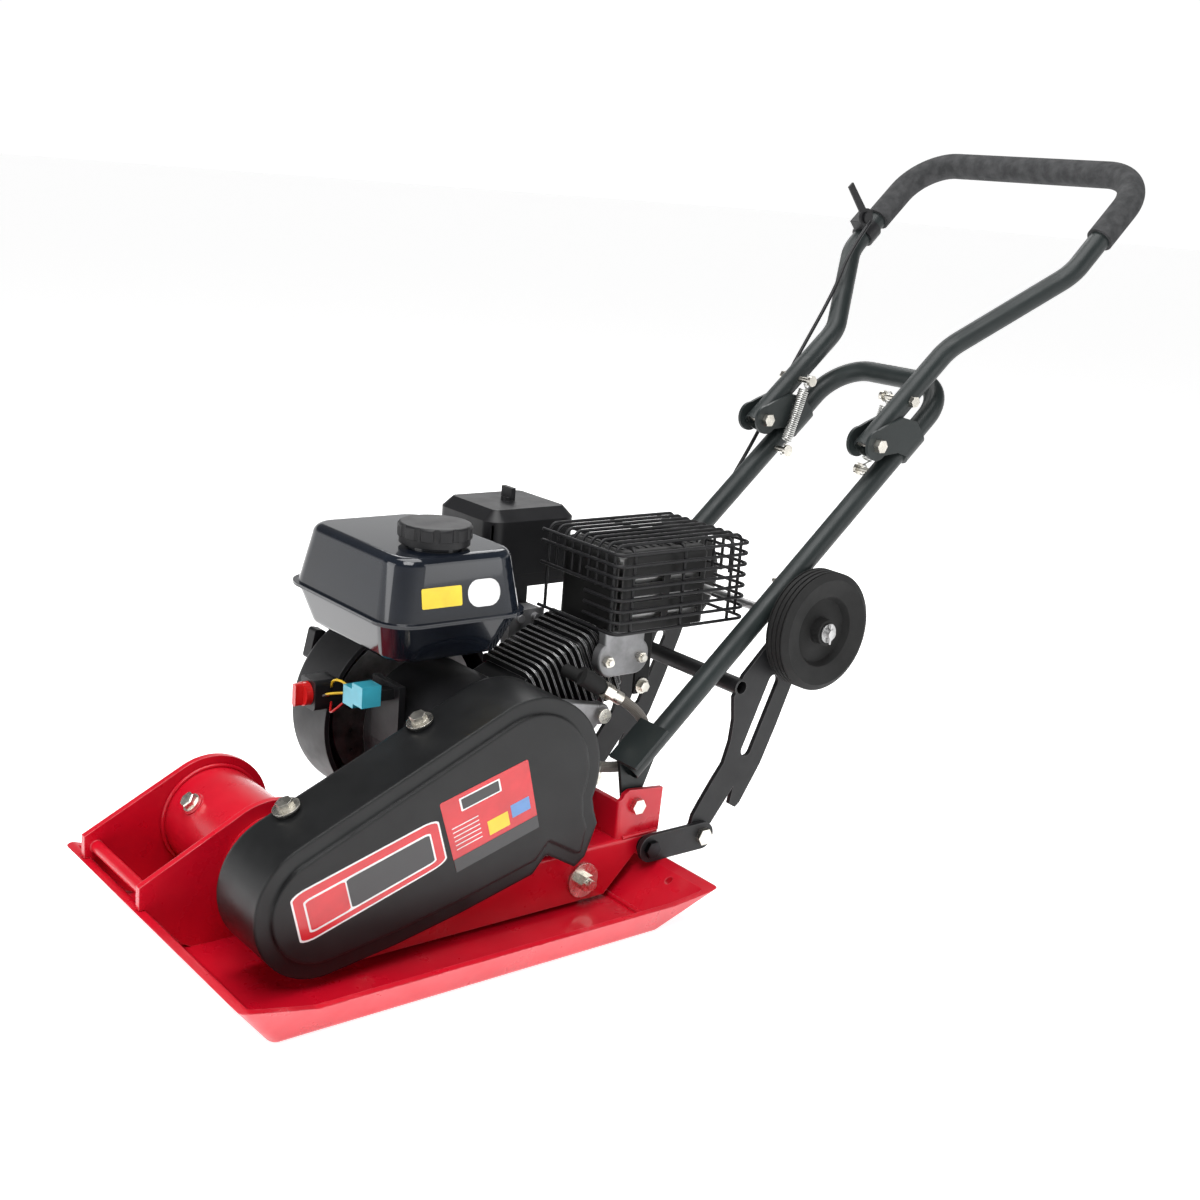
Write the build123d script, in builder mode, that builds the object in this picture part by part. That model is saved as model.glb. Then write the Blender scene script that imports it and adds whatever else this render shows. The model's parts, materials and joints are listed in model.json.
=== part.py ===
from build123d import *
import math
import os

os.makedirs("parts", exist_ok=True)

# Walk-behind plate compactor. X points forward, Y to the belt side, Z up.
# The origin is the centre of the flat sole, on the ground.

# ---------------------------------------------------------------- sizes, mm
# base plate
sole_length = 484
sole_width = 374
plate_t = 8
front_lip_z = 62
front_reach = 51
rear_lip_z = 49
rear_reach = 70
side_lip_z = 39.5
side_flare = 62
plate_bend_r = 14

# exciter in its two round-topped side plates
exciter_x = 140
exciter_z = 86
lobe_r = 71
lobe_t = 8
lobe_far_y = -170
lobe_near_y = -22
tube_r = 58
tube_wall = 10
shaft_r = 20
bore_gap = 0.05
rotor_gap = 6

# engine deck on four rubber mounts
deck_top = 80
deck_t = 6
deck_half = 103
deck_rear = -300
deck_front = 66
arm_front = 136
skirt_bottom = 15
mount_z = 41
mount_rear_x = -195
mount_front_x = 98
mount_far_x = 28
rubber_r = 23
rubber_len = 27
mount_bolt_r = 6
washer_r = 21

# engine
crank_x = -92
crank_above_deck = 110
bore_tilt = 25
shaft_end_r = 12.5
fan_r = 118
tank_front = 34
tank_rear = -160
tank_near = 28
tank_far = -220
tank_seam = 347
tank_top = 418
tank_bottom = 300
cap_x = -60
cap_y = -40
cap_r = 42

# belt drive
belt_y = 115
pulley_w = 16
exciter_pulley_r = 45
clutch_pulley_r = 39
groove_depth = 9
belt_h = 8
belt_w = 11
belt_gap = 0.6
guard_wall = 3
guard_rim_y = 44
guard_face_y = 131
guard_front_x = 159
guard_front_z = 99
guard_front_r = 76
guard_rear_r = 95

# handle
tube_od = 27
tube_id = 23
leg_y = 98
pivot_x = -271
pivot_z = 118
leg_angle = 41.9
leg_offset = 44
leg_start = 19
leg_length = 680
crossbar_r = 58
fold_along = 525
fold_offset = 48
upper_tail = 10
upper_first = 175
upper_second = 153
upper_third = 184
upper_lean = 1.5
upper_half = 188
grip_od = 35
grip_run = 120
handle_bolt_r = 5

# wheel kit
link_a_x = -286
link_b_x = -368
link_z = 66
link_t = 6
link_h = 34
link_y = 111
arm_t = 6
arm_y = 104
axle_x = -506
axle_z = 318
axle_r = 6
cross_x = -415
cross_z = 247
cross_r = 10.5
wheel_r = 74
wheel_w = 36
wheel_y = 119
hub_r = 44
running_gap = 0.05

# muffler and its wire cage
cage_front = -240
cage_rear = -446
cage_near = 70
cage_far = -78
cage_bottom = 322
cage_top = 424
wire_r = 2
wire_touch = 0.15

# common fits
clear = 0.4


# ------------------------------------------------------------ small helpers
def rod_y(x, z, start, end, radius, mode=Mode.ADD):
    """A round bar along Y from start to end, in the open builder."""
    with Locations(Location((x, start, z), (-90, 0, 0))):
        Cylinder(radius, end - start, align=(Align.CENTER, Align.CENTER, Align.MIN), mode=mode)


def hex_y(x, z, start, end, across, mode=Mode.ADD):
    """A hexagonal head or nut along Y from start to end."""
    with BuildSketch(Plane.XZ.offset(-end)) as outline:
        with Locations((x, z)):
            RegularPolygon(across / 2, 6, major_radius=False)
    extrude(outline.sketch, amount=end - start, mode=mode)


def ring_y(x, z, start, end, outer, inner):
    """A washer or bush along Y, as a solid of its own."""
    with BuildSketch(Plane.XZ.offset(-end)) as outline:
        with Locations((x, z)):
            Circle(outer)
            Circle(inner, mode=Mode.SUBTRACT)
    extrude(outline.sketch, amount=end - start)


def rod_z(x, y, start, end, radius, mode=Mode.ADD):
    """A round bar along Z from start to end."""
    with Locations((x, y, start)):
        Cylinder(radius, end - start, align=(Align.CENTER, Align.CENTER, Align.MIN), mode=mode)


def block(x0, x1, y0, y1, z0, z1, mode=Mode.ADD):
    """A box given by its two corners."""
    with Locations(((x0 + x1) / 2, (y0 + y1) / 2, (z0 + z1) / 2)):
        Box(x1 - x0, y1 - y0, z1 - z0, mode=mode)


def finish(piece, label):
    """Label a finished piece and write its STEP file."""
    piece.part.label = label
    export_step(piece.part, "parts/" + label + ".step")


def along(offset_s, offset_n=0.0):
    """A point in the side view, measured along and square to the handle legs."""
    c = math.cos(math.radians(leg_angle))
    s = math.sin(math.radians(leg_angle))
    x = pivot_x - c * offset_s + s * (leg_offset + offset_n)
    z = pivot_z + s * offset_s + c * (leg_offset + offset_n)
    return x, z


# ------------------------------------------------------- worked-out values
sole_half = sole_length / 2
side_half = sole_width / 2
floor_z = plate_t
skirt_in = deck_half - deck_t
crank_z = deck_top + crank_above_deck
fold_x, fold_z = along(fold_along, fold_offset)
ramp_len = math.hypot(front_reach, front_lip_z)
ramp_foot = sole_half - plate_t * front_lip_z / ramp_len
ramp_foot_z = plate_t * front_reach / ramp_len


def ramp_x(z, room=0.0):
    """Where the inside of the front ramp stands at height z, less some room."""
    return ramp_foot + front_reach * (z - ramp_foot_z) / front_lip_z - room * ramp_len / front_lip_z


# ================================================================ BASE PLATE
rim_z = front_lip_z + 4
with BuildPart() as base_plate:
    with BuildSketch(Plane.XY) as sole_outline:
        Rectangle(sole_length, sole_width)
    rim_front = sole_half + front_reach * rim_z / front_lip_z
    rim_rear = -sole_half - rear_reach * rim_z / rear_lip_z
    rim_side = side_half + rim_z / math.tan(math.radians(side_flare))
    with BuildSketch(Plane.XY.offset(rim_z)) as rim_outline:
        with Locations(((rim_front + rim_rear) / 2, 0)):
            Rectangle(rim_front - rim_rear, 2 * rim_side)
    loft(ruled=True)
    corners = base_plate.edges().filter_by(lambda e: abs(e.tangent_at(0.5).Z) > 0.3)
    fillet(corners + base_plate.edges().group_by(Axis.Z)[0], plate_bend_r)
    offset(amount=-plate_t, openings=base_plate.faces().sort_by(Axis.Z)[-1])
    with BuildSketch(Plane.XZ.offset(-rim_side - 10)) as lip_cut:
        with BuildLine() as lip_line:
            lower = FilletPolyline(
                (rim_front + 10, front_lip_z),
                (sole_half + front_reach - 10, front_lip_z),
                (sole_half - 36, side_lip_z),
                (-sole_half - 6, side_lip_z),
                (-sole_half - rear_reach + 4, rear_lip_z),
                (rim_rear - 10, rear_lip_z),
                radius=22,
            )
            Line(lower @ 1, (rim_rear - 10, rim_z + 10))
            Line((rim_rear - 10, rim_z + 10), (rim_front + 10, rim_z + 10))
            Line((rim_front + 10, rim_z + 10), lower @ 0)
        make_face()
    extrude(amount=2 * rim_side + 20, mode=Mode.SUBTRACT)
    with Locations(Location((-sole_half - rear_reach * 0.62, side_half - 34, rear_lip_z * 0.62))):
        Cylinder(4.5, 60, mode=Mode.SUBTRACT)
finish(base_plate, "base_plate")

# weld bead across the pan where the sole meets the rear slope
with BuildPart() as pan_seam_weld:
    with Locations(Location((-sole_half - 1, 0, floor_z + 1.2), (90, 0, 0))):
        Cylinder(3.2, sole_width - 50)
    add(base_plate.part, mode=Mode.SUBTRACT)

# ============================================================ EXCITER GROUP
# two round-topped plates stand in the pan and clamp the exciter tube
foot_relief = 7
with BuildPart() as exciter_side_plates:
    for far_face in (lobe_far_y - lobe_t, lobe_near_y - lobe_t):
        with BuildSketch(Plane.XZ.offset(-far_face - lobe_t)) as lobe_outline:
            with BuildLine() as lobe_line:
                nose_x = sole_half + front_reach - 4
                nose_z = front_lip_z + 26
                reach = math.hypot(nose_x - exciter_x, nose_z - exciter_z)
                lean = math.atan2(nose_z - exciter_z, nose_x - exciter_x)
                turn = math.degrees(lean + math.acos(lobe_r / reach))
                crown = CenterArc((exciter_x, exciter_z), lobe_r, turn, 180 - turn)
                foot = Polyline(
                    crown @ 1,
                    (exciter_x - lobe_r, floor_z),
                    (ramp_x(floor_z, clear) - foot_relief, floor_z),
                    (ramp_x(floor_z + foot_relief, clear), floor_z + foot_relief),
                    (ramp_x(front_lip_z + clear, clear), front_lip_z + clear),
                    (nose_x, front_lip_z + clear),
                    (nose_x, nose_z),
                    crown @ 0,
                )
            make_face()
        extrude(amount=lobe_t)
    for hole_y in (lobe_far_y - lobe_t - 1, lobe_near_y - lobe_t - 1):
        rod_y(exciter_x, exciter_z, hole_y, hole_y + lobe_t + 2, tube_r - tube_wall, Mode.SUBTRACT)
    weld_edges = exciter_side_plates.edges().filter_by(Axis.X).group_by(Axis.Z)[0].sort_by(Axis.Y)
    chamfer(weld_edges[0], plate_bend_r - plate_t, plate_bend_r - plate_t)

tube_start = lobe_far_y
tube_end = lobe_near_y - lobe_t
plug_y = tube_start + 0.34 * (tube_end - tube_start)
plug_turn = 41
plug_plane = Plane(
    origin=(exciter_x, plug_y, exciter_z),
    x_dir=(0, 1, 0),
    z_dir=(math.cos(math.radians(plug_turn)), 0, math.sin(math.radians(plug_turn))),
)
with BuildPart() as exciter_tube:
    rod_y(exciter_x, exciter_z, tube_start, tube_end, tube_r)
    with BuildSketch(plug_plane.offset(tube_r - 4)) as boss:
        Circle(13)
    extrude(amount=6)
    rod_y(exciter_x, exciter_z, tube_start - 1, tube_end + 1, tube_r - tube_wall, Mode.SUBTRACT)
    with BuildSketch(plug_plane.offset(tube_r - tube_wall - 3)) as plug_bore:
        Circle(6)
    extrude(amount=20, mode=Mode.SUBTRACT)
finish(exciter_tube, "exciter_tube")

with BuildPart() as exciter_plug:
    with BuildSketch(plug_plane.offset(tube_r - tube_wall + 2)) as plug_shank:
        Circle(6)
    extrude(amount=tube_wall)
    with BuildSketch(plug_plane.offset(tube_r + 2)) as plug_flange:
        Circle(11)
    extrude(amount=2.5)
    with BuildSketch(plug_plane.offset(tube_r + 4.5)) as plug_head:
        RegularPolygon(8.5, 6, major_radius=False)
    extrude(amount=8)
    chamfer(exciter_plug.faces().filter_by(GeomType.PLANE).sort_by(
        lambda f: (f.center() - plug_plane.origin).dot(plug_plane.z_dir))[-1].edges(), 1.2)

# weld beads where the tube meets the two plates
with BuildPart() as exciter_welds:
    for seam_y in (tube_start + 2.6, tube_end - 2.6):
        with BuildSketch(Plane.XY.offset(exciter_z)) as bead:
            with Locations((exciter_x + tube_r + 1.6, seam_y)):
                Circle(2.5)
        revolve(axis=Axis((exciter_x, 0, exciter_z), (0, 1, 0)))
    rod_y(exciter_x, exciter_z, tube_start - 5, tube_end + 5, tube_r, Mode.SUBTRACT)
    split(bisect_by=Plane.XY.offset(floor_z + 25), keep=Keep.TOP)

bearing_w = 20
bearing_far_y = tube_start + 6
bearing_near_y = tube_end - 6 - bearing_w
with BuildPart() as exciter_bearings:
    for start in (bearing_far_y, bearing_near_y):
        ring_y(exciter_x, exciter_z, start, start + bearing_w, tube_r - tube_wall, shaft_r + bore_gap)
finish(exciter_bearings, "exciter_bearings")

cover_t = 8
cover_r = tube_r - 3
neck_r = 26
neck_end = 70
with BuildPart() as exciter_end_cover:
    rod_y(exciter_x, exciter_z, lobe_far_y - lobe_t - cover_t, lobe_far_y - lobe_t, cover_r)
    fillet(exciter_end_cover.faces().sort_by(Axis.Y)[0].edges(), 3)

with BuildPart() as exciter_neck:
    rod_y(exciter_x, exciter_z, lobe_near_y, lobe_near_y + cover_t, cover_r)
    rod_y(exciter_x, exciter_z, lobe_near_y + cover_t, neck_end, neck_r)
    fillet(exciter_neck.edges().filter_by(GeomType.CIRCLE).group_by(Axis.Y)[1], 3)
    rod_y(exciter_x, exciter_z, lobe_near_y - 1, neck_end + 1, shaft_r + bore_gap, Mode.SUBTRACT)

with BuildPart() as exciter_cover_bolts:
    for step in range(6):
        swing = math.radians(60 * step)
        bolt_x = exciter_x + (cover_r - 9) * math.cos(swing)
        bolt_z = exciter_z + (cover_r - 9) * math.sin(swing)
        far_head = lobe_far_y - lobe_t - cover_t
        hex_y(bolt_x, bolt_z, far_head - 5, far_head, 11)
        hex_y(bolt_x, bolt_z, lobe_near_y + cover_t, lobe_near_y + cover_t + 5, 11)

pulley_start = belt_y - pulley_w / 2
pulley_stop = belt_y + pulley_w / 2
with BuildPart() as exciter_shaft:
    rod_y(exciter_x, exciter_z, lobe_far_y - lobe_t + 2, neck_end + 6, shaft_r)
    rod_y(exciter_x, exciter_z, neck_end + 6, pulley_stop, shaft_r - 6)
    hex_y(exciter_x, exciter_z, pulley_stop, pulley_stop + 3.5, 17)

weight_start = bearing_far_y + bearing_w + rotor_gap
weight_stop = bearing_near_y - rotor_gap
with BuildPart() as eccentric_weight:
    rod_y(exciter_x, exciter_z, weight_start, weight_stop, tube_r - tube_wall - rotor_gap)
    block(exciter_x - 60, exciter_x + 60, weight_start - 1, weight_stop + 1, exciter_z + 8, exciter_z + 70,
          Mode.SUBTRACT)
    rod_y(exciter_x, exciter_z, weight_start, weight_stop, shaft_r + 7)
    rod_y(exciter_x, exciter_z, weight_start - 1, weight_stop + 1, shaft_r, Mode.SUBTRACT)


def pulley_section(x, z, outer, bore):
    """A grooved pulley turned about an axis along Y through x, z."""
    root = outer - groove_depth
    with BuildSketch(Plane.XY) as section:
        with BuildLine() as section_line:
            Polyline(
                (x + bore, pulley_start),
                (x + outer, pulley_start),
                (x + outer, belt_y - belt_w / 2 - belt_gap - 0.6),
                (x + root, belt_y - belt_w / 2 - belt_gap),
                (x + root, belt_y + belt_w / 2 + belt_gap),
                (x + outer, belt_y + belt_w / 2 + belt_gap + 0.6),
                (x + outer, pulley_stop),
                (x + bore, pulley_stop),
                close=True,
            )
        make_face()
    revolve(section.sketch, axis=Axis((x, 0, z), (0, 1, 0)))


with BuildPart() as exciter_pulley:
    pulley_section(exciter_x, 0, exciter_pulley_r, shaft_r - 6)
    for step in range(5):
        swing = math.radians(72 * step)
        rod_y(exciter_x + 25 * math.cos(swing), 25 * math.sin(swing), pulley_start - 1, pulley_stop + 1, 6.5,
              Mode.SUBTRACT)
exciter_pulley.part = Pos(0, 0, exciter_z) * exciter_pulley.part
finish(exciter_pulley, "exciter_pulley")

rod_bar_r = 7
with BuildPart() as front_hand_rod:
    rod_y(nose_x - 14, front_lip_z + 12, lobe_far_y, lobe_near_y - lobe_t, rod_bar_r)

# ================================================================ DECK GROUP
mounts = [
    (mount_rear_x, 1),
    (mount_front_x, 1),
    (mount_rear_x, -1),
    (mount_far_x, -1),
]
pedestal_out = skirt_in - rubber_len
pedestal_t = 8
pedestal_half = 24
with BuildPart() as mount_pedestals:
    for spot_x, side in mounts:
        near = min(side * pedestal_out, side * (pedestal_out - pedestal_t))
        block(spot_x - pedestal_half, spot_x + pedestal_half, near, near + pedestal_t, floor_z, mount_z + 24)
        inner = side * (pedestal_out - pedestal_t)
        with BuildSketch(Plane.YZ.offset(spot_x - pedestal_half)) as gusset:
            with BuildLine() as gusset_line:
                Polyline((inner, floor_z), (inner - side * 30, floor_z), (inner, mount_z + 18), close=True)
            make_face()
        extrude(amount=6)
        with BuildSketch(Plane.YZ.offset(spot_x + pedestal_half - 6)) as gusset_two:
            with BuildLine() as gusset_line_two:
                Polyline((inner, floor_z), (inner - side * 30, floor_z), (inner, mount_z + 18), close=True)
            make_face()
        extrude(amount=6)
        rod_y(spot_x, mount_z, near - 1, near + pedestal_t + 1, mount_bolt_r, Mode.SUBTRACT)
finish(mount_pedestals, "mount_pedestals")

with BuildPart() as rubber_mounts:
    for spot_x, side in mounts:
        low = min(side * pedestal_out, side * skirt_in)
        rod_y(spot_x, mount_z, low, low + rubber_len, rubber_r)
        with BuildSketch(Plane.XY.offset(mount_z)) as waist:
            with Locations((spot_x + rubber_r + 4, low + rubber_len / 2)):
                Circle(7)
        revolve(axis=Axis((spot_x, 0, mount_z), (0, 1, 0)), mode=Mode.SUBTRACT)
        rod_y(spot_x, mount_z, low - 1, low + rubber_len + 1, mount_bolt_r, Mode.SUBTRACT)

bolt_tip = deck_half + 20
with BuildPart() as mount_bolts:
    for spot_x, side in mounts:
        head = side * (pedestal_out - pedestal_t)
        hex_y(spot_x, mount_z, min(head, head - side * 8), max(head, head - side * 8), 18)
        rod_y(spot_x, mount_z, min(head, side * bolt_tip), max(head, side * bolt_tip), mount_bolt_r)

with BuildPart() as mount_washers:
    for spot_x, side in mounts:
        low = min(side * deck_half, side * (deck_half + 3))
        ring_y(spot_x, mount_z, low, low + 3, washer_r, mount_bolt_r)

with BuildPart() as mount_nuts:
    for spot_x, side in mounts:
        low = min(side * (deck_half + 3), side * (deck_half + 13))
        hex_y(spot_x, mount_z, low, low + 10, 18)
        rod_y(spot_x, mount_z, low - 1, low + 11, mount_bolt_r, Mode.SUBTRACT)

# the deck: a plate with a skirt on each side and an arm reaching forward on the belt side
skirt_chamfer = deck_top - skirt_bottom - 4
pin_r = 8
with BuildPart() as engine_deck:
    with BuildSketch(Plane.XY.offset(deck_top - deck_t)) as deck_outline:
        with BuildLine() as deck_line:
            Polyline(
                (deck_rear, -deck_half),
                (deck_front, -deck_half),
                (deck_front, lobe_near_y + lobe_t + 8),
                (deck_front, 20),
                (arm_front - 50, 78),
                (exciter_x - shaft_r - 6, 78),
                (exciter_x - shaft_r - 6, deck_half),
                (deck_rear, deck_half),
                close=True,
            )
        make_face()
    extrude(amount=deck_t)
    for side in (1, -1):
        skirt_front = arm_front if side > 0 else deck_front
        with BuildSketch(Plane.XZ.offset(-max(side * deck_half, side * skirt_in))) as skirt_outline:
            with BuildLine() as skirt_line:
                Polyline(
                    (skirt_front, deck_top - deck_t),
                    (skirt_front, skirt_bottom + 14),
                    (skirt_front - 8, skirt_bottom),
                    (deck_rear + 10 + skirt_chamfer, skirt_bottom),
                    (deck_rear + 24, deck_top - 18),
                    (deck_rear, deck_top - 18),
                    (deck_rear, deck_top - deck_t),
                    close=True,
                )
            make_face()
            with Locations((link_a_x, link_z)):
                Circle(14)
        extrude(amount=deck_t)
    rod_y(exciter_x, exciter_z, skirt_in - 1, deck_half + 1, shaft_r, Mode.SUBTRACT)
    deck_edges = engine_deck.edges().filter_by(Axis.X).group_by(Axis.Z)[-1]
    fillet(deck_edges.filter_by(lambda e: abs(abs(e.center().Y) - deck_half) < 0.1), 5)
    for spot_x, side in mounts:
        rod_y(spot_x, mount_z, min(side * skirt_in, side * deck_half) - 1,
              max(side * skirt_in, side * deck_half) + 1, mount_bolt_r, Mode.SUBTRACT)
    for side in (1, -1):
        rod_y(link_a_x, link_z, min(side * skirt_in, side * deck_half) - 1,
              max(side * skirt_in, side * deck_half) + 1, pin_r, Mode.SUBTRACT)
finish(engine_deck, "engine_deck")

# cheeks and front web of the handle bracket, bent from one plate and welded to the deck
cheek_t = 6
cheek_y = 100
cheek_top = 139
web_x = -250
web_top = 126
with BuildPart() as handle_brackets:
    for side in (1, -1):
        with BuildSketch(Plane.XZ.offset(-max(side * cheek_y, side * (cheek_y - cheek_t)))) as cheek:
            with BuildLine() as cheek_line:
                Polyline(
                    (web_x + cheek_t, deck_top),
                    (web_x + cheek_t, web_top),
                    (web_x, web_top + 4),
                    (web_x - 2, cheek_top - 4),
                    (web_x - 10, cheek_top),
                    (pivot_x - 40, cheek_top - 5),
                    (pivot_x - 38, deck_top),
                    close=True,
                )
            make_face()
        extrude(amount=cheek_t)
    block(web_x, web_x + cheek_t, -cheek_y, cheek_y, deck_top, web_top)
    web_corners = handle_brackets.edges().filter_by(Axis.Z).filter_by(
        lambda e: e.center().X > web_x + cheek_t - 0.1)
    fillet(web_corners, 5)
    for side in (1, -1):
        rod_y(pivot_x, pivot_z, min(side * cheek_y, side * (cheek_y - cheek_t)) - 1,
              max(side * cheek_y, side * (cheek_y - cheek_t)) + 1, handle_bolt_r + 1, Mode.SUBTRACT)
finish(handle_brackets, "handle_brackets")

# weld fillets along the foot of the cheeks
with BuildPart() as bracket_welds:
    for side in (1, -1):
        with Locations(Location((pivot_x - 8, side * (cheek_y + 0.2), deck_top + 0.2), (0, 90, 0))):
            Cylinder(3, 52)
    add(engine_deck.part, mode=Mode.SUBTRACT)
    add(handle_brackets.part, mode=Mode.SUBTRACT)

# ==================================================================== ENGINE
case_far = -95
case_near = 48
cover_near = 62
with BuildPart() as crankcase:
    with BuildSketch(Plane.XZ.offset(-case_near)) as case_outline:
        with Locations((crank_x, crank_z)):
            Circle(80)
        with BuildLine() as sump_line:
            Polyline(
                (crank_x - 84, deck_top + 12),
                (crank_x + 78, deck_top + 12),
                (crank_x + 78, crank_z),
                (crank_x - 84, crank_z + 20),
                close=True,
            )
        make_face()
    extrude(amount=case_near - case_far)
    block(crank_x - 92, crank_x + 88, case_far + 18, case_near, deck_top, deck_top + 12)
    for rib in range(4):
        block(crank_x + 76, crank_x + 82, case_far + 24 + 30 * rib, case_far + 28 + 30 * rib, deck_top + 12,
              crank_z - 30)
    rod_y(crank_x, crank_z, case_far - 1, case_near + 1, 62, Mode.SUBTRACT)
finish(crankcase, "crankcase")

lug_x = crank_x - 146
lug_z = crank_z + 34
with BuildPart() as side_cover:
    with BuildSketch(Plane.XZ.offset(-cover_near)) as cover_outline:
        with Locations((crank_x, crank_z)):
            Circle(84)
        with BuildLine() as lug_line:
            Polyline((crank_x - 50, crank_z + 66), (lug_x + 4, lug_z + 13), (lug_x + 4, lug_z - 13),
                     (crank_x - 66, crank_z - 50), close=True)
        make_face()
        with Locations((lug_x, lug_z)):
            Circle(13)
    extrude(amount=cover_near - case_near)
    fillet(side_cover.faces().sort_by(Axis.Y)[-1].edges(), 3)
    rod_y(crank_x, crank_z, cover_near - 4, cover_near + 16, 30)
    for rib in range(8):
        swing = math.radians(45 * rib + 20)
        rib_x = crank_x + 49 * math.cos(swing)
        rib_z = crank_z + 49 * math.sin(swing)
        with Locations(Location((rib_x, cover_near + 2, rib_z), (0, -math.degrees(swing), 0))):
            Box(34, 6, 4)
    rod_y(crank_x, crank_z, case_near - 1, cover_near + 20, shaft_end_r + bore_gap, Mode.SUBTRACT)
finish(side_cover, "side_cover")

with BuildPart() as side_cover_bolts:
    for rib in range(6):
        swing = math.radians(60 * rib + 8)
        bolt_x = crank_x + 75 * math.cos(swing)
        bolt_z = crank_z + 75 * math.sin(swing)
        hex_y(bolt_x, bolt_z, cover_near, cover_near + 6, 12)
    hex_y(lug_x, lug_z, cover_near, cover_near + 6, 12)
    ring_y(lug_x, lug_z, cover_near + 6.2, cover_near + 7, 9, 2)

with BuildPart() as crankshaft:
    rod_y(crank_x, crank_z, case_far - 40, pulley_stop + 2, shaft_end_r)
    rod_y(crank_x, crank_z, case_far + 20, case_far + 34, 50)
    rod_y(crank_x, crank_z, case_near - 34, case_near - 20, 50)

# centrifugal clutch: hub and shoes turn with the shaft, the drum carries the belt
with BuildPart() as clutch_hub:
    ring_y(crank_x, crank_z, cover_near + 24, cover_near + 40, 24, shaft_end_r)
    with BuildSketch(Plane.XZ.offset(-cover_near - 39)) as shoes:
        with Locations((crank_x, crank_z)):
            Circle(44)
            Circle(25, mode=Mode.SUBTRACT)
            Rectangle(9, 120, mode=Mode.SUBTRACT)
    extrude(amount=13)

drum_r = 50
with BuildPart() as clutch_drum:
    pulley_section(crank_x, 0, clutch_pulley_r, shaft_end_r + bore_gap)
    rod_y(crank_x, 0, cover_near + 23, pulley_start, drum_r)
    rod_y(crank_x, 0, cover_near + 22, pulley_start - 3, drum_r - 4, Mode.SUBTRACT)
    rod_y(crank_x, 0, cover_near, pulley_stop + 1, shaft_end_r + bore_gap, Mode.SUBTRACT)
    for hole in range(6):
        swing = math.radians(60 * hole)
        rod_y(crank_x + 22 * math.cos(swing), 22 * math.sin(swing), pulley_start - 5, pulley_stop + 1, 4,
              Mode.SUBTRACT)
clutch_drum.part = Pos(0, 0, crank_z) * clutch_drum.part
finish(clutch_drum, "clutch_drum")

with BuildPart() as clutch_bolt:
    ring_y(crank_x, crank_z, pulley_stop + 2, pulley_stop + 3.4, 15, 4)
    hex_y(crank_x, crank_z, pulley_stop + 2, pulley_stop + 4.6, 13)


def loop_outline(front_r, rear_r):
    """The loop round both pulleys, as an open-builder sketch face."""
    span = math.hypot(exciter_x - crank_x, exciter_z - crank_z)
    lean = math.degrees(math.atan2(exciter_z - crank_z, exciter_x - crank_x))
    tilt = math.degrees(math.asin((rear_r - front_r) / span))
    with BuildLine() as loop_line:
        front = CenterArc((exciter_x, exciter_z), front_r, lean + 90 - tilt, -180 + 2 * tilt)
        rear = CenterArc((crank_x, crank_z), rear_r, lean - 90 + tilt, -180 - 2 * tilt)
        Line(front @ 1, rear @ 0)
        Line(rear @ 1, front @ 0)
    return make_face(loop_line.edges(), mode=Mode.PRIVATE)


belt_front = exciter_pulley_r - groove_depth + belt_gap
belt_rear = clutch_pulley_r - groove_depth + belt_gap
with BuildPart() as v_belt:
    with BuildSketch(Plane.XZ.offset(-belt_y - belt_w / 2)) as belt_outline:
        add(loop_outline(belt_front + belt_h, belt_rear + belt_h))
        add(loop_outline(belt_front, belt_rear), mode=Mode.SUBTRACT)
    extrude(amount=belt_w)
finish(v_belt, "v_belt")

# finned cylinder and head, lying back from the crankcase
bore_plane = Plane(
    origin=(crank_x, -22, crank_z),
    x_dir=(0, 1, 0),
    z_dir=(-math.cos(math.radians(bore_tilt)), 0, math.sin(math.radians(bore_tilt))),
)
fin_half_y = 52
fin_half_z = 50
barrel_start = 70
barrel_end = 168
with BuildPart() as cylinder:
    with BuildSketch(bore_plane.offset(barrel_start)) as barrel:
        Rectangle(80, 80)
    extrude(amount=barrel_end - barrel_start)
    for step in range(9):
        with BuildSketch(bore_plane.offset(barrel_start + 22 + 8.5 * step)) as fin:
            RectangleRounded(2 * fin_half_y, 2 * fin_half_z, 16)
        extrude(amount=2.2)
    with BuildSketch(bore_plane.offset(barrel_start - 10)) as bore_hole:
        Circle(34)
    extrude(amount=120, mode=Mode.SUBTRACT)
    add(crankcase.part, mode=Mode.SUBTRACT)
finish(cylinder, "cylinder")

head_end = 208
with BuildPart() as cylinder_head:
    with BuildSketch(bore_plane.offset(barrel_end)) as head_block:
        RectangleRounded(92, 84, 8)
    extrude(amount=head_end - barrel_end)
    for step in range(4):
        with BuildSketch(bore_plane.offset(barrel_end + 4 + 8.5 * step)) as head_fin:
            RectangleRounded(2 * fin_half_y, 2 * fin_half_z, 14)
        extrude(amount=2.4)

with BuildPart() as valve_cover:
    with BuildSketch(bore_plane.offset(head_end)) as cover_base:
        RectangleRounded(84, 76, 14)
    extrude(amount=6)
    with BuildSketch(bore_plane.offset(head_end + 6)) as cover_dome:
        RectangleRounded(76, 68, 14)
    extrude(amount=26)
    fillet(valve_cover.faces().sort_by(Axis(bore_plane.origin, bore_plane.z_dir))[-1].edges(), 7)

# exhaust elbow on the belt side of the head, with its two nuts
port_x = crank_x - 190
elbow_y = 34
with BuildPart() as exhaust_elbow:
    with BuildSketch(Plane.XZ.offset(-elbow_y - 13)) as elbow_outline:
        with Locations((port_x + 4, 284)):
            RectangleRounded(76, 44, 20)
        with Locations((port_x + 4, 302)):
            Rectangle(60, 34)
    extrude(amount=13)
    fillet(exhaust_elbow.faces().sort_by(Axis.Y)[-1].edges(), 3)
finish(exhaust_elbow, "exhaust_elbow")

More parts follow.
